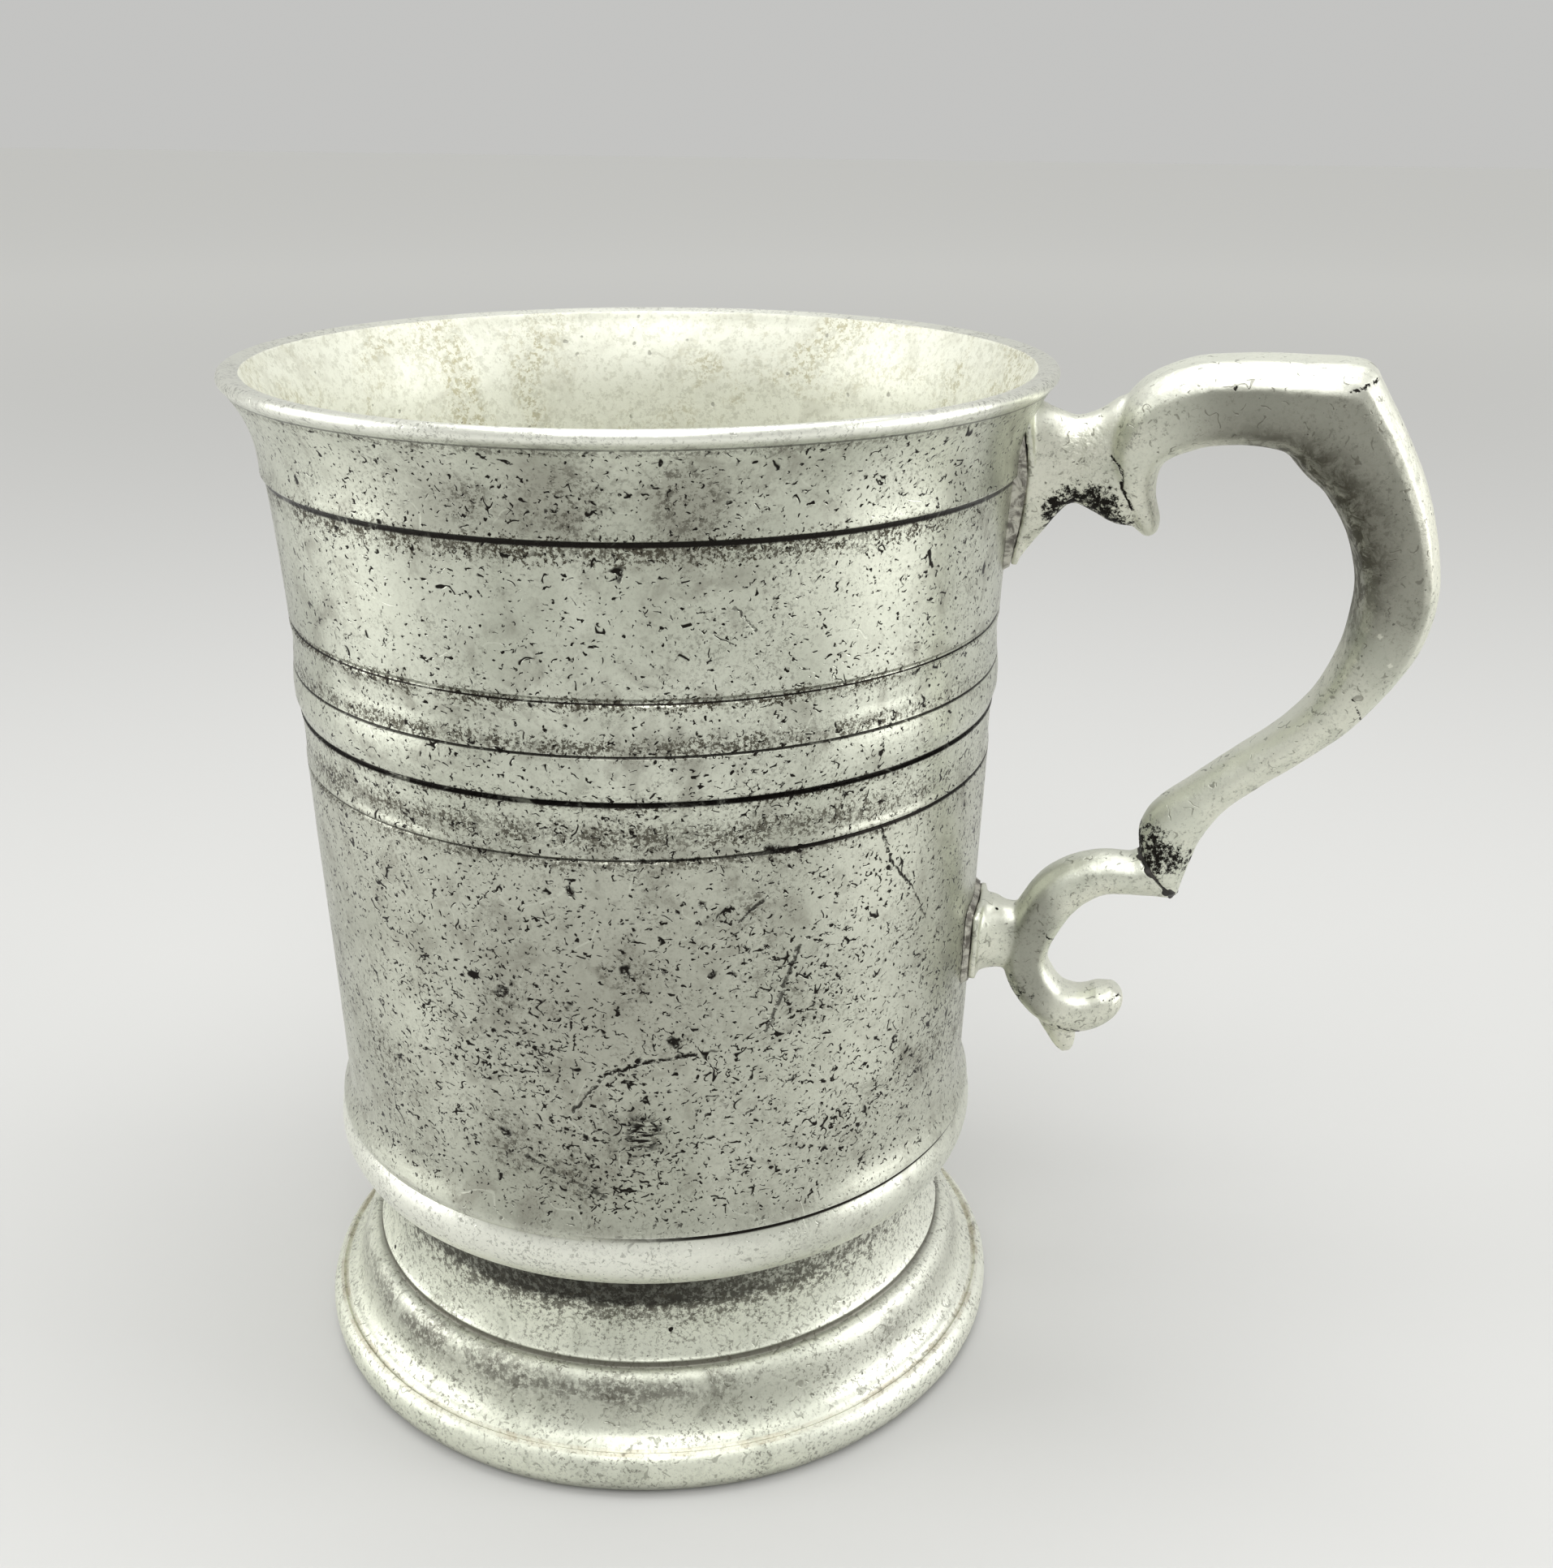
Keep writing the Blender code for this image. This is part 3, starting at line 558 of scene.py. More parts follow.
def interior_material():
    """Inside of the barrel: dull, cream coloured and mottled, with brown speckle in patches."""
    material, at = start_material("pewter_interior", 0.35)
    colour, small, grain = tone(at, INNER_LIGHT, INNER_LIGHT, INNER_MIDDLE)
    patches = at.noise(21.0, 4.0, 0.6, 1.2).fade(0.46, 0.62)
    spots = at.shift(1.4, 1.0).pits(1.9, 0.30, 0.18)
    colour = painted(
        colour,
        (patches * 0.10, INNER_TAN),
        (pepper(at, 0.9, (0.50, 0.57), patches) * 0.8, INNER_TAN),
        (at.noise(1.1, 5.0, 0.8).fade(0.50, 0.60, 0.0, 0.5), INNER_DARK),
        (spots * 0.5, STAIN))
    relief = small * 0.06 + grain * 0.015 - spots * 0.04
    return finish_material(material, colour, small * 0.14 + 0.42, relief)


def foot_material():
    """The foot: paler and more matt, sooty under the barrel and in the hollow of its slope, with painted
    shadow under the bulge and along the step, painted shade in the hollow of the slope and at the bottom,
    and painted light on the handle side.
    """
    material, at = start_material("pewter_foot", 0.88)
    side, depth, height = at.apart()
    colour, small, grain = tone(at, CREAM, PALE, MID)
    uneven = at.noise(6.0, 5.0, 0.7, 0.8)
    speckle = at.noise(0.8, 4.0, 0.78)
    front = depth.fade(-8.0, -34.0, 0.3)
    cove = height.fade(15.8, 22.0) * (uneven * 0.9 + front * 0.5)
    bound = cove * -0.26 + 0.66
    cove_soot = speckle.fade(bound, bound + 0.12) * cove.fade(0.06, 0.35)
    # painted shadow: black right under the barrel's bulge, strongest at the front
    under = (height + (uneven * 1.8 + speckle * 1.6)).fade(22.9, 24.3) * depth.fade(-22.0, -44.0, 0.2)
    # painted shade with soot: a speckled dark band in the hollow of the slope, strongest at the front
    slope_soot_and_shade = height.band(11.6, 3.0) * uneven.fade(0.34, 0.52, 0.2)
    slope_soot_and_shade = slope_soot_and_shade * speckle.fade(0.38, 0.54, 0.25) * front * side.fade(26.0, 8.0, 0.3)
    smears_and_shade = nearness(at.shift(5.0, 12.0), on_slope, FOOT_SMEARS_AND_SHADE, 0.0) * speckle.fade(0.42, 0.54, 0.05, 0.5)
    # painted shadow: a dark line along the riser of the step
    step = height.stripe(STEP_HEIGHT - 0.45, 0.50)
    edge = height.stripe(EDGE_HEIGHT - 0.20, 0.22) * uneven.fade(0.40, 0.60, 0.25)
    pits = at.shift(1.5, 1.1).pits(2.6, 0.10, 0.17)
    fine_pits = at.shift(0.6, 0.4).pits(0.8, 0.16, 0.22)
    scratches = at.shift(2.0, 1.5).threads(2.2, 0.13, 0.60)
    colour = painted(
        colour,
        (edge_sharpness(at.tree).fade(0.52, 0.60, 0.0, 0.7), CREAM),
        # painted light: paler on the handle side
        (side.fade(24.0, 38.0, 0.0, 0.6), PAINTED_HIGHLIGHT_AND_WEAR),
        # painted shade: darker towards the bottom, where the foot meets the floor
        (height.fade(2.8, 0.8, 0.0, 0.45), SOOT),
        (pepper(at, 0.55, (0.52, 0.60), uneven.fade(0.36, 0.62, 0.2, 0.8)), SOOT),
        (edge * 0.6, TARNISH),
        # painted shade on the slope: the speckled hollow band, and an even band all round
        (most(slope_soot_and_shade * 0.85, height.band(10.4, 3.8) * 0.30), SOOT),
        # painted shadow of the step, and sooty smears that also paint the shade under it
        (most(step * 0.85, smears_and_shade), STAIN),
        (cove_soot * 0.8, STAIN),
        # painted shadow under the bulge
        (under, BLACK),
        (scratches * 0.4, STAIN),
        (most(pits, fine_pits * 0.7), BLACK))
    roughness = small * 0.16 + under * 0.2 + 0.40
    relief = small * 0.07 + grain * 0.022
    sunk = pits * 0.14 + fine_pits * 0.05 + scratches * 0.03
    return finish_material(material, colour, roughness, relief - sunk)


def handle_soot_and_shade(at):
    """Black soot at the joint and in nicks, black painted shade in the crotches, and brown painted shade
    along the inner curve.
    """
    side, _, _ = at.apart()
    loose = at.shift(3.0, 3.0)
    centre, normal, _ = joint_frame()
    above_seam = at.past(centre, normal).fade(-0.2, 0.3, 0.1)
    # black soot at the joint, and black painted shade in the crotches
    places = most(
        loose.from_point(JOINT_SOOT).fade(5.8, 3.2) * above_seam,
        loose.from_point(STRUT_CROTCH).fade(8.0, 4.2),
        loose.from_point(LOWER_CROTCH).fade(5.5, 1.5) * 0.9,
        loose.from_point(PLATE_FOOT).fade(4.0, 1.5) * 0.8)
    bound = places * -0.28 + 0.70
    black = at.noise(0.8, 5.0, 0.8).fade(bound, bound + 0.07) * places.fade(0.05, 0.25)
    # painted shade: brown along the inner curve of the main scroll
    inner = at.stretch(HANDLE_PLANE).from_point(INNER_CURVE).fade(18.5, 12.6)
    inner = inner * side.fade(UPPER_BASE + 17.0, UPPER_BASE + 30.0)
    inner_shade = inner * (at.noise(2.0, 5.0, 0.75, 0.6).fade(0.40, 0.58) * 0.4 + 0.6)
    ragged = at.shift(0.8, 0.9)
    _, near, _ = ragged.apart()
    seen = ragged.stretch(HANDLE_PLANE)
    cuts = [seen.from_line(on_handle(*start), on_handle(*end)).fade(width, 0.4 * width)
            for start, end, width in HANDLE_CUTS]
    spots = [ragged.from_point(on_handle(*spot)).fade(radius, 0.5 * radius)
             for *spot, radius in HANDLE_SPOTS]
    broken = at.noise(0.8, 3.0, 0.7).fade(0.42, 0.50)
    return most(black, most(most(*cuts) * near.fade(-0.6, -1.6), *spots) * broken), inner_shade


def handle_material():
    """The cast handle: matt with age, with brown painted shade along its inner curve, painted shade on its
    flanks and painted light on faces that point up, stippled at its waist.
    """
    material, at = start_material("pewter_handle", 0.90)
    side, _, height = at.apart()
    _, towards, upward = coordinates(at.tree, "Normal").apart()
    colour, small, grain = tone(at, HANDLE_LIGHT, PALE, MID)
    edges = edge_sharpness(at.tree)
    black, inner_shade = handle_soot_and_shade(at)
    waist = at.from_point(WAIST).fade(6.5, 3.5)
    pits = at.shift(1.3, 1.0).pits(2.2, 0.12, 0.12)
    fine_pits = at.shift(0.6, 0.4).pits(0.7, waist * 0.45 + 0.24, 0.19)
    scratches = at.shift(2.0, 1.5).threads(2.2, 0.10, 0.63)
    # painted shade: grey on the side faces of both scrolls
    flank_shade = abs(towards).fade(0.50, 0.92) * height.fade(*FLANK_SHADE_HEIGHTS)
    flank_shade = flank_shade * side.fade(UPPER_BASE + 14.0, UPPER_BASE + 24.0, 0.15) * FLANK_SHADE_SHARE
    low_flank_shade = abs(towards).fade(0.55, 0.95) * height.fade(*LOW_FLANK_SHADE_HEIGHTS)
    low_flank_shade = low_flank_shade * side.fade(LOWER_BASE + 13.0, LOWER_BASE + 9.0)
    low_flank_shade = low_flank_shade * side.fade(LOWER_BASE + 4.0, LOWER_BASE + 7.0) * 0.7
    colour = painted(
        colour,
        (most(flank_shade, low_flank_shade), FLANK_SHADE_GREY),
        (pepper(at, 0.55, (0.53, 0.62), small.fade(0.40, 0.60, 0.15, 0.6)), SOOT),
        (edges.fade(0.53, 0.62) * 0.6, HANDLE_LIGHT),
        # painted light: paler on faces that point up
        (upward.fade(0.2, 0.7, 0.0, 0.45), PAINTED_HIGHLIGHT_AND_WEAR),
        (inner_shade * 0.92, INNER_SHADE_BROWN),
        (most(edges.fade(0.47, 0.40) * 0.7, scratches * 0.5), STAIN),
        (most(pits, fine_pits * 0.6, black), BLACK))
    roughness = small * 0.16 + most(inner_shade, black) * 0.2 + 0.36
    relief = small * 0.13 + grain * 0.026 + at.noise(0.6, 2.0) * waist * 0.14
    sunk = pits * 0.16 + fine_pits * 0.06 + scratches * 0.03 + black * 0.08
    return finish_material(material, colour, roughness, relief - sunk)


def solder_material(name, light, dark, metallic):
    """Soft solder: lumpy and dull."""
    material, at = start_material(name, metallic)
    lumps = at.noise(1.6, 4.0, 0.65, 0.8)
    grain = at.noise(0.4, 2.0)
    colour = painted(light, (lumps.fade(0.40, 0.62), dark))
    return finish_material(material, colour, grain * 0.25 + 0.38, lumps * 0.25 + grain * 0.05)


# Turned pieces

def between(start, end, share):
    """The numbers that lie a share of the way from one lot of numbers to another."""
    return tuple(first + (last - first) * share for first, last in zip(start, end))


def arc(centre, radius, start, end, steps):
    """Points (r, z) on an arc, angles in degrees, 0 pointing out and 90 up."""
    points = []
    for i in range(steps + 1):
        angle = math.radians(start + (end - start) * i / steps)
        points.append((centre[0] + radius * math.cos(angle), centre[1] + radius * math.sin(angle)))
    return points


def bow(start, end, depth, steps):
    """Points after start and before end on a shallow bow, positive depth to the right of the run."""
    across = Vector((end[1] - start[1], start[0] - end[0])).normalized()
    points = []
    for i in range(1, steps):
        t = i / steps
        lift = 4 * depth * t * (1 - t)
        r, z = between(start, end, t)
        points.append((r + across.x * lift, z + across.y * lift))
    return points


def curve(start, first, second, end, steps):
    """Points of a cubic curve from start up to, but without, its end."""
    points = []
    for i in range(steps):
        t = i / steps
        weights = ((1 - t) ** 3, 3 * t * (1 - t) ** 2, 3 * t * t * (1 - t), t ** 3)
        corners = (start, first, second, end)
        points.append(tuple(sum(w * p[k] for w, p in zip(weights, corners)) for k in range(2)))
    return points


def smooth(value, start, end):
    share = min(1.0, max(0.0, (value - start) / (end - start)))
    return share * share * (3 - 2 * share)


def plateau(value, start, full, fall, end):
    """None before start, one from full to fall, and none again past end."""
    return smooth(value, start, full) * (1 - smooth(value, fall, end))


def wall_radius(height):
    """Outer radius of the plain wall between the band and the bulge."""
    if height >= TAPER_TOP:
        share = min(1.0, (height - TAPER_TOP) / (BAND_FOOT - TAPER_TOP))
        return UPPER_WALL_RADIUS + (BAND_RADIUS - BAND_STEP - UPPER_WALL_RADIUS) * share ** 1.4
    share = max(0.0, (height - WALL_FOOT) / (TAPER_TOP - WALL_FOOT))
    return LOWER_WALL_RADIUS + (UPPER_WALL_RADIUS - LOWER_WALL_RADIUS) * share


def turned_radius(height):
    """Outer radius of the wall with its turned lines, its raised hoop and the swell above the bulge."""
    radius = wall_radius(height) + HOOP_SWELL * plateau(height, *HOOP)
    radius -= HOLLOW_DEPTH * plateau(height, *HOLLOW) + RECESS_DEPTH * plateau(height, *RECESS)
    radius += (BULGE_RADIUS - 0.35 - LOWER_WALL_RADIUS) * (1 - smooth(height, BULGE_TOP, WALL_FOOT)) ** 1.5
    for level, depth, width in TURNED_LINES[1:]:
        away = abs(height - level) / (width / 2)
        radius -= depth * max(0.0, 1 - away ** 1.5)
    return radius


def wall_levels(top, bottom):
    """Heights down the wall, a millimetre apart and closer at the turned lines."""
    levels = {round(bottom + (top - bottom) * i / 90, 4) for i in range(91)}
    for level, _, width in TURNED_LINES[1:]:
        levels.update(round(level + width * share / 8, 4) for share in range(-5, 6))
    for stops in (HOOP, HOLLOW, RECESS):
        levels.update(round(stop + step * 0.2, 4) for stop in stops for step in (-1, 0, 1))
    return [level for level in sorted(levels, reverse=True) if bottom <= level <= top]


def drum_outside():
    """Outline of the barrel's outside, from the top of the lip down to its turned-in bottom."""
    lip = arc((RIM_RADIUS - LIP_ROUND, MUG_HEIGHT - LIP_ROUND), LIP_ROUND, 90, -30, 12)
    points = lip + bow(lip[-1], (BAND_RADIUS, BAND_FOOT + 0.3), BAND_HOLLOW, 26)
    level, depth, width = TURNED_LINES[0]
    points = [(r - depth * max(0.0, 1 - abs(z - level) / width) if z < level + width else r, z)
              for r, z in points]
    points += arc((BAND_RADIUS - 0.3, BAND_FOOT + 0.3), 0.3, 0, -80, 4)
    top = BAND_FOOT - 0.35
    points += [(turned_radius(z), z) for z in wall_levels(top, BULGE_TOP)]
    for i in range(1, 7):
        share = i / 7
        radius = BULGE_RADIUS - 0.9 * (1 - share) ** 2.2
        points.append((radius, BULGE_TOP + (BULGE_CREST - BULGE_TOP) * share))
    under = BULGE_RADIUS - (NECK_RADIUS + 1.6)
    fall = BULGE_CREST - DRUM_BOTTOM
    return points + [(BULGE_RADIUS - under * (1 - r), BULGE_CREST - fall * z)
                     for r, z in arc((0, 0), 1, 0, 90, 16)]


def drum_inside():
    """Outline of the barrel's inside, from its turned-in bottom up to the lip."""
    ledge = DRUM_BOTTOM + BASE_THICKNESS
    inner = LOWER_WALL_RADIUS - WALL
    lip_edge = (RIM_RADIUS - LIP_WIDTH, MUG_HEIGHT - LIP_FALL)
    under_lip = (lip_edge[0] - 0.3, lip_edge[1] - LIP_ROUND)
    points = [(NECK_RADIUS - 1.0, DRUM_BOTTOM), (BASE_HOLE_RADIUS, DRUM_BOTTOM), (BASE_HOLE_RADIUS, ledge),
              (inner, ledge)]
    steps = 46
    for i in range(1, steps + 1):
        level = ledge + (BAND_FOOT - ledge) * i / steps
        radius = wall_radius(level) - WALL if level > WALL_FOOT else inner
        points.append((min(radius, BAND_RADIUS - WALL), level))
    points += bow(points[-1], under_lip, -0.6 * BAND_HOLLOW, 9)
    points += [under_lip, (under_lip[0] + 0.08, under_lip[1] + 0.45), lip_edge]
    return points + [(lip_edge[0] + 0.5, lip_edge[1] + 0.12), (lip_edge[0] + 1.1, lip_edge[1] + 0.24)]


STEP_HEIGHT = 14.7
STEP_RADIUS = NECK_RADIUS + 1.6
EDGE_HEIGHT = 5.8
EDGE_RADIUS = FOOT_RADIUS - 2.0
BEARING_OUTER = FOOT_RADIUS - 2.3
BEARING_INNER = BEARING_OUTER - 2.6
FOOT_WALL = 2.2
BEAD_RADIUS = NECK_RADIUS + 0.3


def foot_outline():
    """Closed outline of the foot: down its outside, then up its hollow underside."""
    shelf = (STEP_RADIUS + 0.3, STEP_HEIGHT - 0.8)
    groove = (EDGE_RADIUS, EDGE_HEIGHT)
    points = curve((NECK_RADIUS, FOOT_HEIGHT), (NECK_RADIUS, 21.0), (NECK_RADIUS + 0.1, 17.6),
                   (STEP_RADIUS, STEP_HEIGHT + 0.15), 18)
    points += arc((STEP_RADIUS - 0.05, STEP_HEIGHT), 0.15, 70, -20, 3)
    points += [(STEP_RADIUS + 0.1, STEP_HEIGHT - 0.45), (shelf[0] - 0.08, shelf[1] + 0.06)]
    points += curve(shelf, (shelf[0] + 3.0, shelf[1] - 0.2), (groove[0] - 3.2, EDGE_HEIGHT + 1.6),
                    (groove[0] - 0.3, EDGE_HEIGHT + 0.3), 26)
    points += [(groove[0] - 0.3, EDGE_HEIGHT + 0.3), (groove[0] - 0.05, EDGE_HEIGHT - 0.15),
               (groove[0] + 0.25, EDGE_HEIGHT - 0.3), (groove[0] + 0.55, EDGE_HEIGHT - 0.1)]
    points += [(groove[0] + 2.0 * r, EDGE_HEIGHT * (0.5 + 0.5 * z)) for r, z in arc((0, 0), 1, 58, -64, 14)]
    points += [(BEARING_OUTER, 0.0), (BEARING_INNER, 0.0), (BEARING_INNER - 0.3, 3.4)]
    points += curve((BEARING_INNER - 0.3, 3.4), (39.0, 8.0), (STEP_RADIUS - 1.0, 11.0),
                    (STEP_RADIUS - FOOT_WALL, 14.0), 12)[1:]
    points += [(STEP_RADIUS - FOOT_WALL, 14.0), (NECK_RADIUS - 2.0, 20.0)]
    return points + [(NECK_RADIUS - 2.0, FOOT_HEIGHT)]


def even_out(outline):
    """The closed outline with extra points on its long straight stretches."""
    points = []
    for start, end in zip(outline, outline[1:] + outline[:1]):
        steps = max(1, math.ceil(math.dist(start, end) / OUTLINE_STEP))
        points += [between(start, end, i / steps) for i in range(steps)]
    return points


def cloud(x, y, z, size):
    return noise.noise(Vector((x, y, z)) / size)


def lathe(name, outline, relief):
    """A closed mesh turned from an outline in millimetres; relief moves each point's radius."""
    count = len(outline)
    verts = []
    for k in range(TURNED_SEGMENTS):
        angle = 2 * math.pi * k / TURNED_SEGMENTS
        side = (math.cos(angle), math.sin(angle))
        for r, z in outline:
            wide = r + relief(r * side[0], r * side[1], z)
            verts.append((wide * side[0] * MM + AXIS.x, wide * side[1] * MM, z * MM))
    faces = []
    for k in range(TURNED_SEGMENTS):
        here = k * count
        there = (k + 1) % TURNED_SEGMENTS * count
        for i in range(count):
            j = (i + 1) % count
            faces.append((here + i, here + j, there + j, there + i))
    mesh = bpy.data.meshes.new(name)
    mesh.from_pydata(verts, [], faces)
    return mesh


def new_object(name, data):
    made = bpy.data.objects.new(name, data)
    bpy.context.scene.collection.objects.link(made)
    return made


def add_piece(name, mesh, material, slot, *nodes):
    """Puts a mesh on the frame in place of the solids it stands for."""
    piece = new_object(name, mesh)
    mesh.materials.append(material)
    mesh.shade_smooth()
    mesh.set_sharp_from_angle(angle=SHARP_ANGLE)
    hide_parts(*nodes)
    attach(piece, "root")


def barrel_relief(x, y, z):
    """Slight dents and waviness; the lip only ever moves in, and the lowest line is worn away in part."""
    near_lip = smooth(z, MUG_HEIGHT - 6.0, MUG_HEIGHT)
    wall_wave = 0.13 * cloud(x, y, z, 31.0) + 0.04 * cloud(x, y, z, 8.0)
    lip_wave = 0.08 * cloud(x, y, z, 24.0) + 0.05 * cloud(x, y, z, 4.0) - 0.13
    wave = wall_wave * (1 - near_lip) + near_lip * lip_wave
    level, depth, width = TURNED_LINES[-1]
    groove = depth * max(0.0, 1 - (abs(z - level) / (width / 2)) ** 1.5)
    radius = math.hypot(x, y)
    towards_wear = (x * WEAR_SIDE[0] + y * WEAR_SIDE[1]) / radius
    return wave + 0.9 * groove * smooth(towards_wear, 0.45, 0.80) * (radius > BULGE_RADIUS - 2.0)


def foot_relief(x, y, z):
    return 0.12 * cloud(x, y, z, 22.0) + 0.05 * cloud(x, y, z, 6.0) - 0.05


def bead_relief(x, y, z):
    return 0.12 * cloud(x, y, z, 3.0) * (math.hypot(x, y) > BEAD_RADIUS + 0.1)


def make_barrel(outside, inside):
    """The turned barrel, with the inside's material from its bottom up to the lip."""
    outer = drum_outside()
    outline = even_out(outer + drum_inside())
    mesh = lathe("barrel", outline, barrel_relief)
    add_piece("barrel", mesh, outside, "drum_metal", "drum")
    mesh.materials.append(inside)
    last = outline.index(outer[-1])
    count = len(outline)
    lip = outline.index((RIM_RADIUS - LIP_WIDTH, MUG_HEIGHT - LIP_FALL))
    for face in mesh.polygons:
        face.material_index = int(last < face.index % count < lip)


def make_bead(material):
    """The solder in the corner between neck and barrel, uneven in width."""
    corner = (BEAD_RADIUS, FOOT_HEIGHT)
    outline = [(BEAD_RADIUS + 0.85, FOOT_HEIGHT), *arc(corner, 0.8, -15, -75, 5),
               (BEAD_RADIUS, FOOT_HEIGHT - 0.85), corner]
    mesh = lathe("neck_solder", outline, bead_relief)
    add_piece("neck_solder", mesh, material, "solder", "foot_solder_bead")


# Handle, drawn in millimetres from the seats on the barrel

UPPER_SEAT_Z = MUG_HEIGHT - 13.3
LOWER_SEAT_Z = UPPER_SEAT_Z - 59.7
UPPER_BASE = wall_radius(UPPER_SEAT_Z)
LOWER_BASE = wall_radius(LOWER_SEAT_Z)
UPPER_SEAT = (UPPER_SEAT_Z, 20.0, 12.6, 2.8)
LOWER_SEAT = (LOWER_SEAT_Z, 10.0, 11.4, 11.4)
BED = 0.7                        # from the barrel to the face of the solder bed
TONGUE_LIFT = 0.9
PLATE = (0.75, 1.6)              # from the barrel to the plate's back and front

# Main scroll: outer edge and inner edge, each out and up from the upper seat, then width and roundness
MAIN_EDGES = (
    (15.6, -5.8, 17.0, -5.2, 2.8, 1.0),
    (14.2, -4.7, 17.2, -3.6, 4.8, 1.0),
    (12.2, -2.0, 16.5, -0.7, 7.4, 0.9),
    (10.5, 1.9, 16.6, 2.0, 9.6, 0.7),
    (10.6, 7.0, 17.6, 3.7, 11.6, 0.3),
    (13.7, 12.4, 19.6, 4.7, 12.8, 0.0),
    (19.4, 15.1, 22.0, 5.4, 13.6, 0.0),
    (25.4, 15.8, 25.9, 5.8, 14.2, 0.0),
    (31.9, 15.8, 29.7, 5.4, 14.6, 0.0),
    (36.7, 15.8, 31.1, 4.6, 14.8, 0.0),
    (39.2, 15.1, 31.9, 3.7, 14.8, 0.0),
    (41.0, 12.6, 33.2, 2.4, 14.8, 0.0),
    (44.3, 6.9, 35.5, 0.4, 14.8, 0.0),
    (47.7, -0.6, 38.4, -4.0, 14.2, 0.0),
    (49.6, -9.2, 40.2, -9.6, 13.4, 0.1),
    (48.8, -16.3, 40.1, -14.2, 12.4, 0.3),
    (46.0, -22.1, 39.3, -18.6, 10.8, 0.5),
    (41.9, -27.8, 37.0, -23.7, 9.2, 0.7),
    (36.7, -32.6, 32.9, -28.4, 8.0, 0.85),
    (32.1, -36.3, 28.5, -31.9, 7.2, 1.0),
    (28.2, -39.9, 23.8, -35.9, 6.8, 1.0),
    (25.6, -44.0, 19.6, -39.6, 6.6, 1.0),
    (24.4, -47.6, 17.9, -42.9, 6.4, 1.0),
)
# Strut from the upper seat: out, lower edge, upper edge, width at the top, share of it at the bottom
MAIN_STRUT = (
    (1.5, -9.7, 9.7, 12.3, 0.24),
    (2.2, -8.4, 9.6, 11.2, 0.34),
    (3.0, -7.0, 9.3, 9.9, 0.50),
    (3.9, -5.6, 8.9, 8.8, 0.65),
    (5.2, -3.6, 8.5, 7.6, 0.85),
    (6.9, -2.1, 8.1, 7.0, 1.0),
    (9.4, -3.1, 9.0, 7.6, 1.0),
    (11.8, -4.3, 10.6, 8.2, 1.0),
    (14.0, -4.6, 10.6, 7.4, 1.0),
)
LOWER_SPINE = (
    (20.7, 10.1, 6.0, 6.4, 1.0),
    (16.6, 9.9, 6.0, 6.4, 1.0),
    (13.4, 8.6, 6.4, 6.6, 0.8),
    (10.9, 6.6, 6.6, 6.8, 0.4),
    (9.1, 3.8, 6.6, 7.0, 0.3),
    (7.6, 0.4, 6.4, 7.0, 0.3),
    (7.2, -3.2, 6.0, 7.0, 0.3),
    (8.4, -6.3, 5.9, 7.0, 0.3),
    (10.8, -9.0, 5.9, 7.0, 0.3),
    (13.8, -10.0, 6.1, 7.0, 0.4),
    (16.4, -9.3, 5.9, 6.8, 0.8),
    (18.3, -7.8, 4.9, 6.2, 1.0),
    (19.3, -6.5, 2.4, 3.6, 1.0),
)
LOWER_STRUT = (
    (1.5, -4.9, 4.9, 10.6, 1.0),
    (2.2, -4.7, 4.9, 9.4, 1.0),
    (2.9, -4.6, 4.9, 8.2, 1.0),
    (4.4, -4.6, 4.4, 6.6, 1.0),
    (6.4, -5.0, 4.2, 6.0, 1.0),
    (8.4, -4.6, 3.0, 5.4, 1.0),
)
DROP_SPINE = (
    (10.8, -8.8, 5.4, 5.4, 1.0),
    (11.9, -11.6, 4.8, 4.6, 1.0),
    (12.7, -13.8, 3.8, 3.6, 1.0),
    (13.2, -15.6, 2.6, 2.4, 1.0),
    (13.4, -16.5, 1.4, 1.2, 1.0),
)
JOINT_OUT = 23.2
JOINT_UP = 10.5
JOINT_TILT = math.radians(40.5)
JOINT_LENGTH = 7.9
JOINT_WIDTH = 6.4
SEAM = 0.15                      # from the joint's middle to the end of either scroll
# Places on the handle that are stained or worn, and the crotches, flanks and inner curve where shade is
# painted
STRUT_CROTCH = on_handle(8.6, -3.6)
WAIST = on_handle(7.6, 3.0)
JOINT_SOOT = on_handle(20.6, -45.8)
FLANK_SHADE_HEIGHTS = (UPPER_SEAT_Z - 29.0, UPPER_SEAT_Z - 9.0)
LOW_FLANK_SHADE_HEIGHTS = (UPPER_SEAT_Z - 50.5, UPPER_SEAT_Z - 54.0)
INNER_CURVE = on_handle(27.5, -7.0)
LOWER_CROTCH = on_handle(4.6, -66.0)
PLATE_FOOT = on_handle(-0.5, -64.5)
HANDLE_PLANE = (1.0, 0.0, 1.0)
# Cuts on the side of the handle: both ends, out and up from the upper seat, and half width
HANDLE_CUTS = (
    ((36.4, 12.8), (39.4, 14.0), 0.26),
    ((8.8, -71.2), (12.2, -72.0), 0.45),
    ((15.2, -67.0), (17.4, -66.4), 0.20),
    ((17.4, -66.4), (18.4, -68.6), 0.20),
    ((11.1, 4.2), (12.3, 2.7), 0.24),
    ((12.3, 2.7), (12.5, 0.6), 0.30),
    ((12.5, 0.6), (13.9, -2.0), 0.22),
    ((6.8, -57.4), (9.2, -60.6), 0.16),
    ((41.0, -23.0), (42.6, -26.2), 0.14),
)
HANDLE_SPOTS = ((29.2, 12.3, -6.8, 0.35), (24.0, 12.9, -6.8, 0.30))  # out, up, across, radius

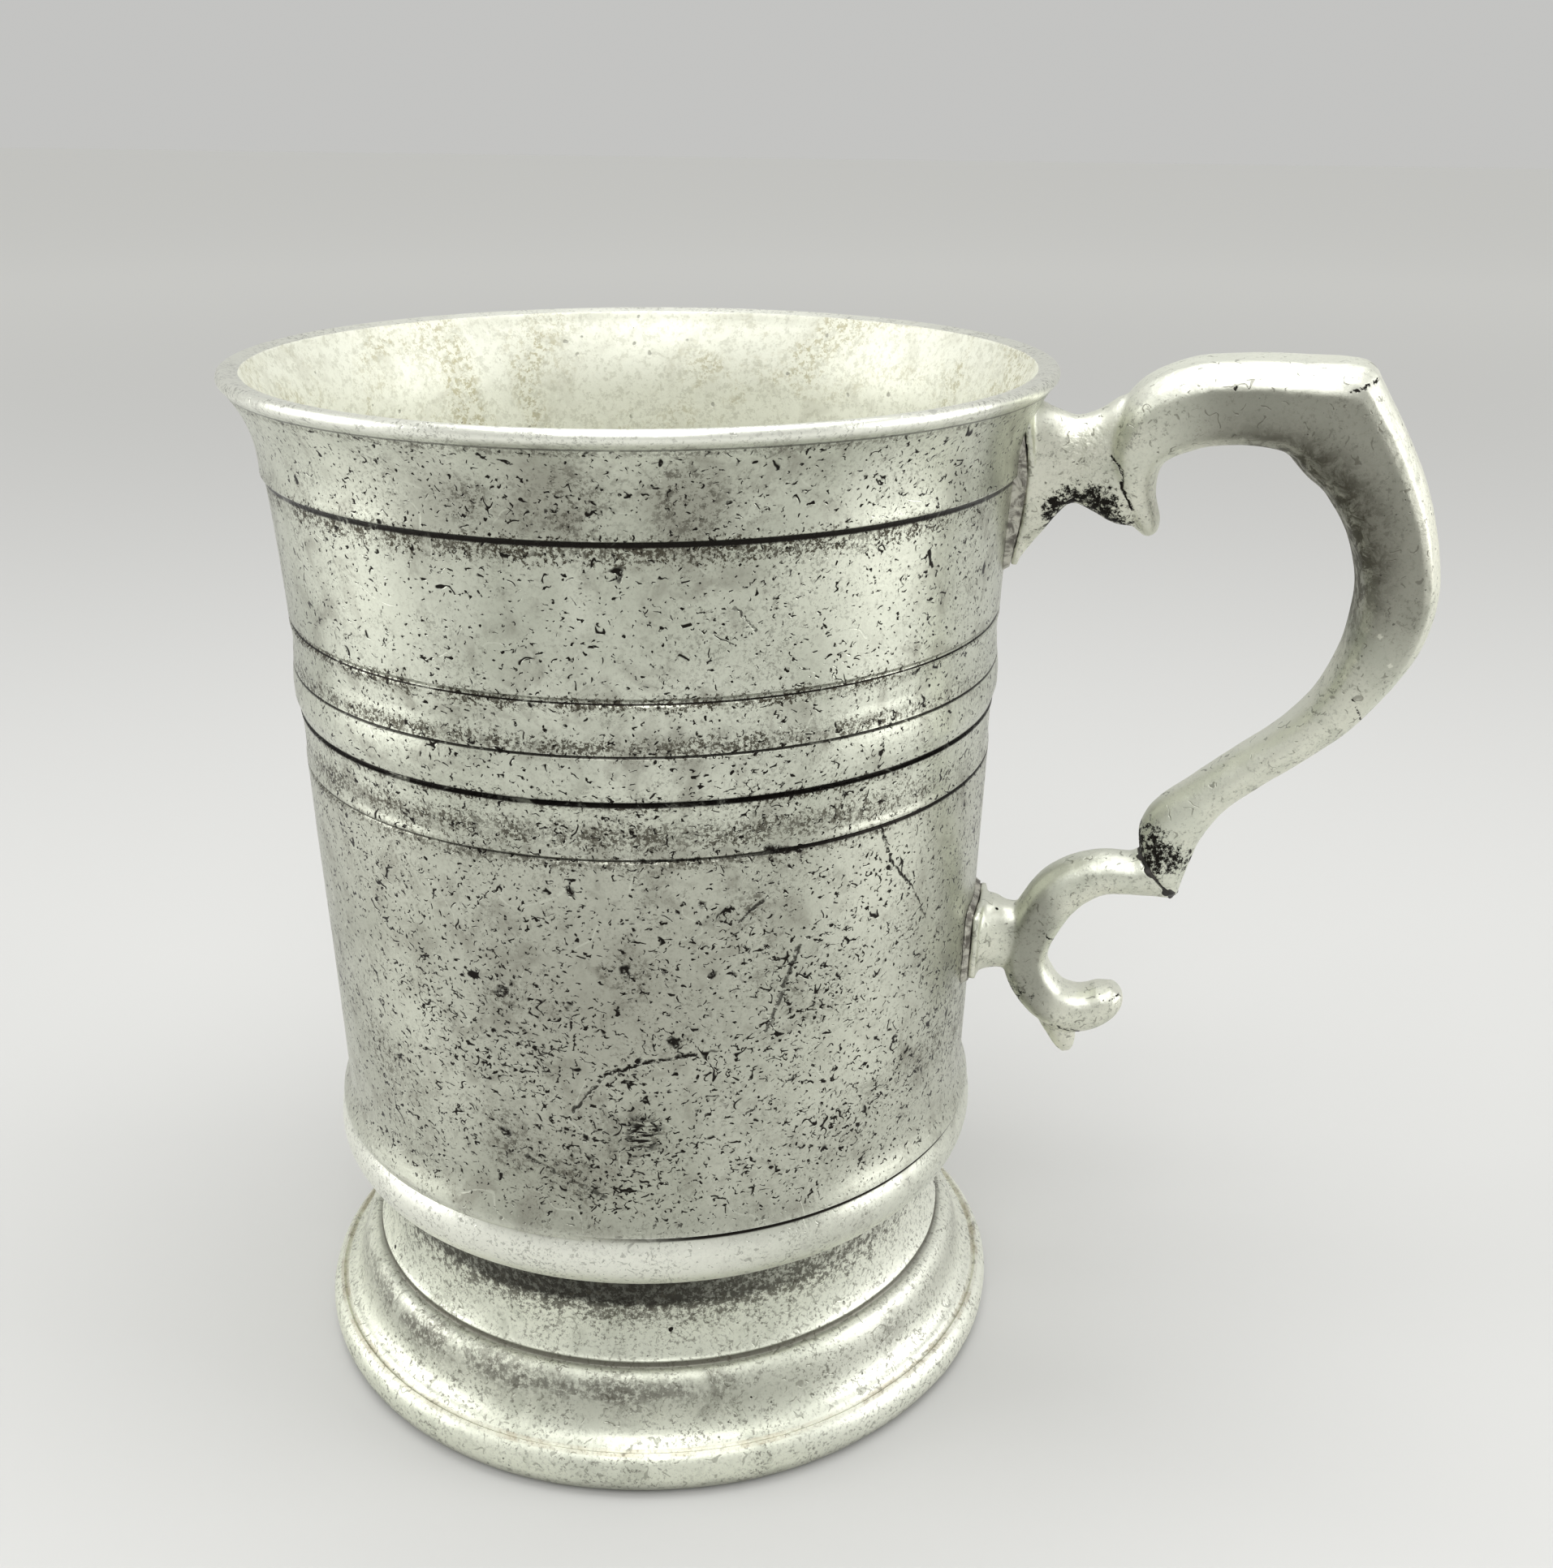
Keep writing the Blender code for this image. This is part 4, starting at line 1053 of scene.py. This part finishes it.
# Half of a scroll's section, from the middle of its outer face to the middle of its inner face
SECTION = ((1.0, 0.0), (0.93, 0.50), (0.68, 0.86), (0.40, 1.0), (-0.30, 0.99), (-0.66, 0.91), (-0.88, 0.72),
           (-0.98, 0.40), (-1.0, 0.0))
SECTION_POINTS = 56
SPINE_STEPS = 8
SHEET_ROWS = 44
SHEET_COLUMNS = 28
SHEET_CORNER = 1.4


def joint_frame():
    """Centre, normal and long axis of the joint between the two scrolls."""
    centre = Vector((LOWER_BASE + JOINT_OUT, 0, LOWER_SEAT_Z + JOINT_UP))
    normal = Vector((math.cos(JOINT_TILT), 0, math.sin(JOINT_TILT)))
    return centre, normal, Vector((normal.z, 0, -normal.x))


def section_ring():
    """Points round the arrised section, evenly apart, thickness and width from -1 to 1."""
    corners = list(SECTION) + [(a, -b) for a, b in SECTION[-2:0:-1]]
    closed = corners + corners[:1]
    lengths = [math.dist(start, end) for start, end in zip(closed, closed[1:])]
    whole = sum(lengths)
    points = []
    for i in range(SECTION_POINTS):
        left = whole * i / SECTION_POINTS
        k = 0
        while left > lengths[k]:
            left -= lengths[k]
            k += 1
        points.append(between(closed[k], closed[k + 1], left / lengths[k]))
    return points


ARRISED = section_ring()
ROUND = [(math.cos(2 * math.pi * i / SECTION_POINTS), math.sin(2 * math.pi * i / SECTION_POINTS))
         for i in range(SECTION_POINTS)]


def ring_at(centre, axis, thickness, width, roundness):
    """One ring of a scroll: thickness along axis and width along Y."""
    ring = []
    for arris, circle in zip(ARRISED, ROUND):
        along, across = between(arris, circle, roundness)
        ring.append(centre + axis * (along * thickness / 2) + Vector((0, across * width / 2, 0)))
    return ring


def smooth_path(stations, steps):
    """A Catmull-Rom curve through tuples of numbers."""
    ends = [stations[0], *stations, stations[-1]]
    path = []
    for i in range(1, len(ends) - 2):
        before, start, end, after = ends[i - 1:i + 3]
        for j in range(steps):
            t = j / steps
            path.append(tuple(
                0.5 * (2 * b + (c - a) * t + (2 * a - 5 * b + 4 * c - d) * t ** 2
                       + (3 * b - a - 3 * c + d) * t ** 3)
                for a, b, c, d in zip(before, start, end, after)))
    path.append(tuple(stations[-1]))
    return path


def rings_between(stations):
    """Rings from an outer to an inner edge: (outer x, z, inner x, z, width, roundness)."""
    rings = []
    for outer_x, outer_z, inner_x, inner_z, width, roundness in smooth_path(stations, SPINE_STEPS):
        outer = Vector((outer_x, 0, outer_z))
        across = outer - Vector((inner_x, 0, inner_z))
        roundness = min(1.0, max(0.0, roundness))
        rings.append(ring_at(outer - across / 2, across.normalized(), across.length, width, roundness))
    return rings


def sweep(stations, end_axis=None):
    """Rings along a spine of (x, z, thickness, width, roundness)."""
    path = smooth_path(stations, SPINE_STEPS)
    ease = 2 * SPINE_STEPS
    rings = []
    for i, (x, z, thickness, width, roundness) in enumerate(path):
        before = path[max(i - 1, 0)]
        after = path[min(i + 1, len(path) - 1)]
        run = Vector((after[0] - before[0], 0, after[1] - before[1])).normalized()
        axis = Vector((-run.z, 0, run.x))
        left = len(path) - 1 - i
        if end_axis is not None and left <= ease:
            side = end_axis if axis.dot(end_axis) > 0 else -end_axis
            axis = axis.lerp(side, 1 - left / (ease + 1)).normalized()
        rings.append(ring_at(Vector((x, 0, z)), axis, thickness, width, min(1.0, max(0.0, roundness))))
    return rings


def strut_rings(base, seat_z, stations):
    """Upright rings out from a seat, each narrower at its foot, bent back to the barrel near it."""
    rings = []
    for out, low, high, width, foot_share in smooth_path(stations, 4):
        ring = []
        for i in range(SECTION_POINTS):
            angle = 2 * math.pi * i / SECTION_POINTS
            up = math.copysign(abs(math.cos(angle)) ** 0.75, math.cos(angle))
            across = math.copysign(abs(math.sin(angle)) ** 0.75, math.sin(angle))
            half = width / 2 * (foot_share + (1 - foot_share) * (up + 1) / 2)
            y = across * half
            z = seat_z + (low + high) / 2 + up * (high - low) / 2
            bend = max(0.0, 1 - (out - 1.5) / 5.0)
            surface = math.sqrt(wall_radius(z) ** 2 - y ** 2)
            ring.append(Vector((base + out + (surface - base) * bend, y, z)))
        rings.append(ring)
    return rings


def span(shape, first, second):
    """Adds faces between two rows of corners."""
    for i in range(len(first) - 1):
        shape.faces.new((first[i], first[i + 1], second[i + 1], second[i]))


def skin(shape, rings):
    """Adds a closed skin over rings that all have the same number of points."""
    rows = [[shape.verts.new(point) for point in ring] for ring in rings]
    for upper, lower in zip(rows, rows[1:]):
        span(shape, upper + upper[:1], lower + lower[:1])
    shape.faces.new(rows[0])
    shape.faces.new(rows[-1])


def seat_lift(seat, z):
    """How far the long tongue's bed stands off the barrel's hollow."""
    centre_z, height, width, tip = seat
    share = min(1.0, max(0.0, (z - centre_z) / height + 0.5))
    return TONGUE_LIFT * math.sin(math.pi * share) if tip < width else 0.0


def add_sheet(shape, seat, back_out, front_out, margin=0.0, ragged=0.0):
    """Adds a thin plate round the barrel between two distances from it, rounded at its corners."""
    centre_z, height, width, tip = seat
    sheets = []
    for out, spread in ((back_out, margin), (front_out, 0.3 * margin)):
        rows = []
        tall = height + 2 * spread
        for j in range(SHEET_ROWS + 1):
            share = j / SHEET_ROWS
            z = centre_z + (share - 0.5) * tall
            corner = min(1.0, share * tall / SHEET_CORNER, (1 - share) * tall / SHEET_CORNER)
            rounding = 0.62 + 0.38 * math.sqrt(1 - (1 - corner) ** 2)
            half = (tip + (width - tip) * share) / 2 * rounding + spread
            half += ragged * cloud(0.0, 0.0, z + 40 * out, 1.3)
            radius = wall_radius(z) + out + (seat_lift(seat, z) if out > 0.2 else 0.0)
            row = [half * (2 * i / SHEET_COLUMNS - 1) for i in range(SHEET_COLUMNS + 1)]
            rows.append([shape.verts.new((math.sqrt(radius ** 2 - y ** 2), y, z)) for y in row])
        sheets.append(rows)
        for upper, lower in zip(rows, rows[1:]):
            span(shape, upper, lower)
    back, front = sheets
    for end in (0, -1):
        span(shape, back[end], front[end])
        span(shape, [row[end] for row in back], [row[end] for row in front])


def closed_mesh(name, shape):
    """A mesh of a shape, which it frees, with every face turned outwards."""
    bmesh.ops.recalc_face_normals(shape, faces=shape.faces)
    mesh = bpy.data.meshes.new(name)
    shape.to_mesh(mesh)
    shape.free()
    return mesh


def evaluated(piece):
    """The mesh that an object's modifiers make."""
    return bpy.data.meshes.new_from_object(piece.evaluated_get(bpy.context.evaluated_depsgraph_get()))


def fused(name, shape, voxel, soft_places):
    """One mesh round all closed parts of a shape, run soft at the given places (centre, radius)."""
    rough = new_object("rough", closed_mesh(name, shape))
    remesh = rough.modifiers.new("remesh", 'REMESH')
    remesh.mode = 'VOXEL'
    remesh.voxel_size = voxel
    mesh = evaluated(rough)
    rough.modifiers.clear()
    rough.data = mesh
    group = rough.vertex_groups.new(name="soft")
    for vertex in mesh.vertices:
        weight = max(1 - (vertex.co - Vector(centre)).length / radius for centre, radius in soft_places)
        if weight > 0:
            group.add([vertex.index], min(1.0, 2 * weight), 'REPLACE')
    for label, turns, chosen in (("even", 3, ""), ("soft", 22, "soft")):
        even = rough.modifiers.new(label, 'SMOOTH')
        even.factor = 0.5
        even.iterations = turns
        even.vertex_group = chosen
    result = evaluated(rough)
    result.name = name
    bpy.data.objects.remove(rough, do_unlink=True)
    return result


def weather(mesh, coarse, fine):
    """Moves each point along its normal by two clouds, then into the frame in metres."""
    normals, points = np.empty((2, 3 * len(mesh.vertices)))
    mesh.vertex_normals.foreach_get("vector", normals)
    mesh.vertices.foreach_get("co", points)
    normals, points = normals.reshape(-1, 3), points.reshape(-1, 3)
    lift = np.array([coarse * cloud(*point, 7.0) + fine * cloud(*point, 1.7) for point in points])
    points = (points + normals * lift[:, None]) * MM + np.array(AXIS)
    mesh.vertices.foreach_set("co", points.ravel())
    mesh.update()
    return mesh


def placed(rows, *origin):
    """The rows of a table, with the origin added to the numbers that they start with."""
    return [tuple(map(sum, zip(row, origin))) + row[len(origin):] for row in rows]


def make_main_scroll(material):
    centre, normal, axis = joint_frame()
    end = centre + normal * SEAM
    stations = placed(MAIN_EDGES, UPPER_BASE, UPPER_SEAT_Z, UPPER_BASE, UPPER_SEAT_Z)
    outer = end + axis * JOINT_LENGTH / 2
    inner = end - axis * JOINT_LENGTH / 2
    stations.append((outer.x, outer.z, inner.x, inner.z, JOINT_WIDTH, 1.0))
    shape = bmesh.new()
    skin(shape, rings_between(stations))
    skin(shape, strut_rings(UPPER_BASE, UPPER_SEAT_Z, MAIN_STRUT))
    add_sheet(shape, UPPER_SEAT, *PLATE)
    soft = ((on_handle(13.0, 3.0), 7.0), (on_handle(2.0, 0.0), 6.0))
    mesh = weather(fused("handle_scroll", shape, voxel=0.27, soft_places=soft), coarse=0.10, fine=0.03)
    add_piece("handle_scroll", mesh, material, "handle_metal", "main_scroll")


def make_lower_scroll(material):
    centre, normal, axis = joint_frame()
    start = centre - normal * SEAM
    stations = placed(LOWER_SPINE[::-1], LOWER_BASE, LOWER_SEAT_Z)
    stations.append((start.x, start.z, JOINT_LENGTH, JOINT_WIDTH, 1.0))
    shape = bmesh.new()
    skin(shape, sweep(stations, end_axis=axis))
    skin(shape, strut_rings(LOWER_BASE, LOWER_SEAT_Z, LOWER_STRUT))
    add_sheet(shape, LOWER_SEAT, *PLATE)
    skin(shape, sweep(placed(DROP_SPINE, LOWER_BASE, LOWER_SEAT_Z)))
    soft = (((LOWER_BASE + 11.5, 0, LOWER_SEAT_Z - 11.0), 3.5),
            ((LOWER_BASE + 6.0, 0, LOWER_SEAT_Z), 5.0),
            (start + axis * JOINT_LENGTH / 2, 2.6))
    mesh = weather(fused("small_scroll", shape, voxel=0.25, soft_places=soft), coarse=0.10, fine=0.04)
    add_piece("small_scroll", mesh, material, "handle_metal", "lower_scroll")


def make_seat_solder(name, seat, node, material):
    """Rough solder between the barrel and a plate of the handle."""
    shape = bmesh.new()
    add_sheet(shape, seat, back_out=0.02, front_out=BED, margin=0.55, ragged=0.35)
    mesh = weather(closed_mesh(name, shape), coarse=0.0, fine=0.05)
    add_piece(name, mesh, material, "solder", node)


def make_joint(material):
    """The lumpy black solder between the two scrolls."""
    centre, normal, axis = joint_frame()
    rings = []
    for share in (i / 6 for i in range(-6, 7)):
        swell = math.sqrt(max(0.0, 1 - share ** 2)) * 0.05 + 0.93
        middle = centre + normal * (share * 0.6)
        ring = ring_at(middle, axis, JOINT_LENGTH * swell, JOINT_WIDTH * swell, 1.0)
        rings.append([point + (point - centre) * 0.14 * cloud(*point, 1.4) for point in ring])
    shape = bmesh.new()
    skin(shape, rings)
    mesh = weather(closed_mesh("joint_lump", shape), coarse=0.0, fine=0.0)
    add_piece("joint_lump", mesh, material, "solder_black", "joint_solder")


# Studio, in metres

SKY_COLOUR = (1.0, 1.0, 0.98, 1.0)
HORIZON_LEVEL = 0.55
SKY_LEVEL = 0.66
SKY_CHANGE = (0.05, 0.75)        # from the horizon to overhead, where the light starts and ends to grow
FLOOR_REACH = 4.0
FLOOR_DROP = 0.0002
# painted shade: the floor is darker near the mug
FLOOR_SHADED_NEAR = (0.56, 0.56, 0.55, 1.0)
FLOOR_FAR = (0.84, 0.84, 0.82, 1.0)
FLOOR_CHANGE = (0.35, 1.6)       # from the mug, where the floor's painted shade starts and ends to give way to paler floor
# Lamps: name, place, what it points at, size, watts
LAMPS = (
    ("left_box", (-0.95, -0.27, 0.34), (-0.02, 0.0, 0.06), (0.59, 0.54), 4.2),
    ("right_box", (0.95, 0.05, 0.34), (0.0, 0.0, 0.06), (0.59, 0.54), 4.2),
    ("top_box", (0.0, 0.02, 0.62), (0.0, 0.0, 0.05), (0.5, 0.4), 2.0),
    ("key_box", (0.05, -0.45, 0.62), (0.0, 0.0, 0.06), (0.35, 0.35), 1.45),
)


def make_floor():
    """A pale floor under the mug, darkened near the mug with painted shade."""
    corners = ((-1, -1), (1, -1), (1, 1), (-1, 1))
    verts = [(x * FLOOR_REACH, y * FLOOR_REACH, -FLOOR_DROP) for x, y in corners]
    mesh = bpy.data.meshes.new("studio_floor")
    mesh.from_pydata(verts, [], [(0, 1, 2, 3)])
    material = bpy.data.materials.new("studio_floor")
    material.use_nodes = True
    tree = material.node_tree
    inputs = tree.nodes["Principled BSDF"].inputs
    away = coordinates(tree, "Object").from_point((0.0, 0.0, 0.0))
    feed(tree, inputs["Base Color"], painted(FLOOR_SHADED_NEAR, (away.fade(*FLOOR_CHANGE), FLOOR_FAR)))
    inputs["Roughness"].default_value = 0.9
    mesh.materials.append(material)
    floor = new_object("studio_floor", mesh)


def make_world():
    """Plain soft light from all round, brighter above than along the horizon."""
    world = bpy.data.worlds.new("studio")
    bpy.context.scene.world = world
    world.use_nodes = True
    tree = world.node_tree
    inputs = tree.nodes["Background"].inputs
    inputs["Color"].default_value = SKY_COLOUR
    _, _, up = coordinates(tree, "Generated").apart()
    feed(tree, inputs["Strength"], up.fade(*SKY_CHANGE, HORIZON_LEVEL, SKY_LEVEL))


def make_lamp(name, place, aim, size, watts):
    data = bpy.data.lights.new(name, 'AREA')
    data.shape = 'RECTANGLE'
    data.size, data.size_y = size
    data.energy = watts
    lamp = new_object(name, data)
    lamp.location = place
    lamp.rotation_euler = (Vector(aim) - Vector(place)).to_track_quat('-Z', 'Y').to_euler()
    lamp.visible_camera = False


FOCAL = 2194.4                   # pixels of the photograph
PHOTO_HEIGHT = 1932
SENSOR = 36                      # millimetres
CAMERA_PITCH = math.radians(21.545)
CAMERA_ROLL = math.radians(0.345)
CAMERA_YAW = math.radians(4.265)
CAMERA_TURN = math.radians(15)   # of the handle towards the camera
CAMERA_REACH = 0.2202            # from the barrel's axis
CAMERA_RISE = 0.0310             # above the rim


def make_camera():
    """The photograph's viewpoint, close in front of the mug and a little above its rim."""
    turn = Matrix.Rotation(CAMERA_TURN, 4, 'Z')
    place = turn @ Vector((0, -CAMERA_REACH, 0)) + AXIS + Vector((0, 0, DRUM_HIGH.z + CAMERA_RISE))
    aim = Matrix.Rotation(CAMERA_TURN - CAMERA_YAW, 4, 'Z')
    aim = aim @ Matrix.Rotation(math.pi / 2 - CAMERA_PITCH, 4, 'X') @ Matrix.Rotation(CAMERA_ROLL, 4, 'Z')
    data = bpy.data.cameras.new("camera")
    data.sensor_width = SENSOR
    data.lens = SENSOR * FOCAL / PHOTO_HEIGHT
    data.clip_start = 0.005
    camera = new_object("camera", data)
    camera.matrix_world = Matrix.Translation(place) @ aim
    bpy.context.scene.camera = camera


def dress_floor(material):
    """The mug's floor shows as the solid that it is."""
    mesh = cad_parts["floor_disc"].data
    mesh.materials.clear()
    mesh.materials.append(material)


def main():
    make_camera()
    make_floor()
    make_world()
    for lamp in LAMPS:
        make_lamp(*lamp)
    inside = interior_material()
    make_barrel(barrel_material(), inside)
    dress_floor(inside)
    foot = lathe("turned_foot", even_out(foot_outline()), foot_relief)
    add_piece("turned_foot", foot, foot_material(), "foot_metal", "foot")
    make_bead(solder_material("solder_yellow", *YELLOW_SOLDER, metallic=0.85))
    handle = handle_material()
    make_main_scroll(handle)
    make_lower_scroll(handle)
    make_joint(solder_material("solder_black", *BLACK_SOLDER, metallic=0.3))
    grey = solder_material("solder_grey", *GREY_SOLDER, metallic=0.85)
    make_seat_solder("upper_solder", UPPER_SEAT, "upper_solder_bed", grey)
    make_seat_solder("lower_solder", LOWER_SEAT, "lower_solder_bed", grey)
    bpy.context.scene.view_settings.view_transform = 'Standard'


main()
